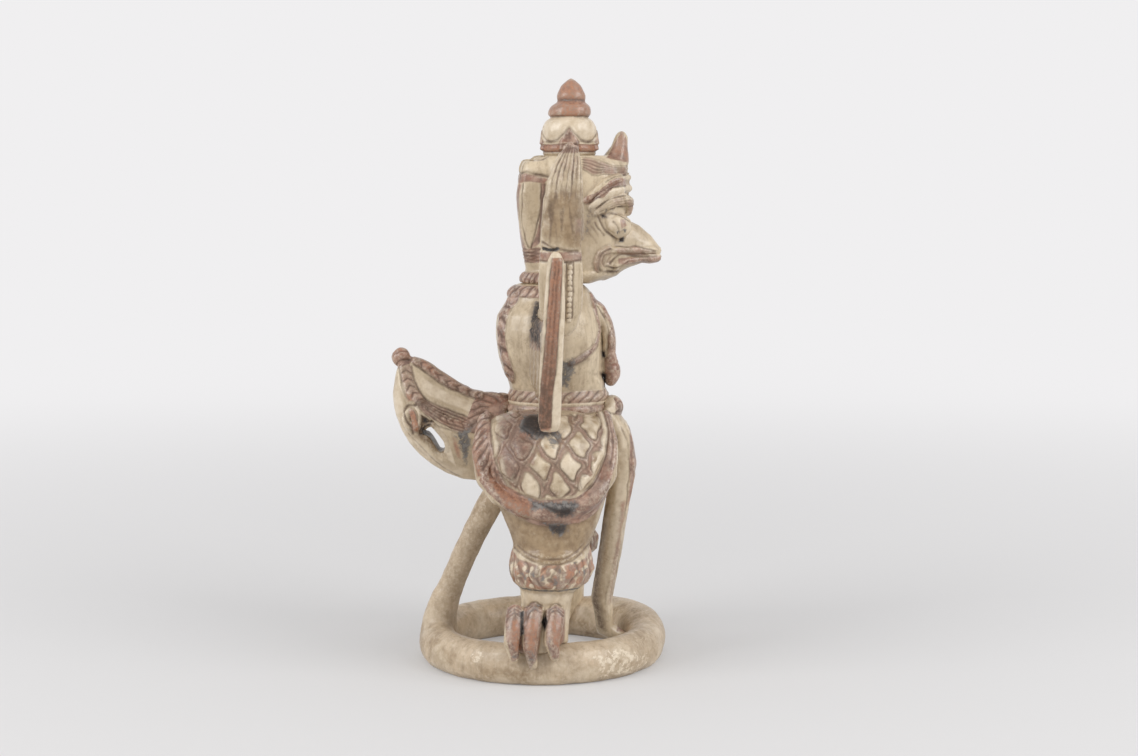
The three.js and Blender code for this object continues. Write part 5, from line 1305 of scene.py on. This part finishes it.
FLOOR_TONE = tone(212, 211, 210)
FLOOR_ROUGHNESS = 0.9
FLOOR_HALF = 3.0
BEND_START = 0.9
BEND_RADIUS = 0.5
WALL_TOP = 3.0
BACK_TONE = tone(240, 239, 240)
SKY_TONE = tone(244, 244, 246)
SKY_STRENGTH = 0.73
LAMP_POWER = 4.55
FADE = (-0.4, 1.15)
LAMP_PLACE = (0.76, -0.45, 0.6)
LAMP_SIZE = 0.55
LAMP_AIM = Vector((0, 0, 0.11))


def floor_material():
    """Matt floor that fades into the pale backdrop, for the camera only."""
    material = bpy.data.materials.new("floor")
    s = Shader(material)
    s.into("Base Color", FLOOR_TONE)
    s.into("Roughness", FLOOR_ROUGHNESS)
    back = s.node("Emission", {"Color": BACK_TONE, "Strength": 1.0}).outputs[0]
    away = s.node("VectorMath", {0: s.object}, operation="LENGTH").outputs["Value"]
    fade = s.times(s.ramp(away, *FADE), s.shown())
    blend = s.node("MixShader", {0: fade, 1: s.surface.outputs[0], 2: back})
    s.set(s.output.inputs["Surface"], blend.outputs[0])
    return material


def sky():
    """Even light from all round, which the camera sees as the pale backdrop."""
    world = bpy.data.worlds.new("studio")
    bpy.context.scene.world = world
    s = Shader(world)
    light = s.node("Background", {"Color": SKY_TONE, "Strength": SKY_STRENGTH}).outputs[0]
    back = s.node("Background", {"Color": BACK_TONE, "Strength": 1.0}).outputs[0]
    blend = s.node("MixShader", {0: s.shown(), 1: light, 2: back})
    s.set(s.output.inputs["Surface"], blend.outputs[0])


def studio():
    """Pale floor that curves up behind, and two soft lamps."""
    mesh = bpy.data.meshes.new("floor")
    bend = [(BEND_RADIUS * math.sin(t), BEND_RADIUS * (1 - math.cos(t))) for t in np.linspace(0.15, 1.5, 12)]
    rows = [(-FLOOR_HALF, 0.0), (BEND_START, 0.0), *((BEND_START + y, z) for y, z in bend)]
    rows.append((BEND_START + BEND_RADIUS, WALL_TOP))
    points = [(x, y, z) for y, z in rows for x in (-FLOOR_HALF, FLOOR_HALF)]
    faces = [(2 * i, 2 * i + 1, 2 * i + 3, 2 * i + 2) for i in range(len(rows) - 1)]
    mesh.from_pydata(points, [], faces)
    mesh.shade_smooth()
    mesh.materials.append(floor_material())
    floor = bpy.data.objects.new("floor", mesh)
    bpy.context.scene.collection.objects.link(floor)
    for side in (-1, 1):
        lamp = bpy.data.lights.new("softbox", "AREA")
        lamp.size = LAMP_SIZE
        lamp.energy = LAMP_POWER
        box = bpy.data.objects.new("softbox", lamp)
        box.location = (side * LAMP_PLACE[0], *LAMP_PLACE[1:])
        box.rotation_euler = (LAMP_AIM - box.location).to_track_quat("-Z", "Y").to_euler()
        bpy.context.scene.collection.objects.link(box)


def camera():
    """Camera of the picture."""
    lens = bpy.data.cameras.new("camera")
    lens.sensor_width = SENSOR_WIDTH
    lens.lens = FOCAL_PIXELS * SENSOR_WIDTH / IMAGE_WIDTH
    eye = bpy.data.objects.new("camera", lens)
    eye.location = CAMERA * MM
    eye.rotation_euler = (math.pi / 2 - PITCH, 0, 0)
    bpy.context.scene.collection.objects.link(eye)
    bpy.context.scene.camera = eye


sky()
studio()
camera()
bpy.context.scene.view_settings.view_transform = "Standard"
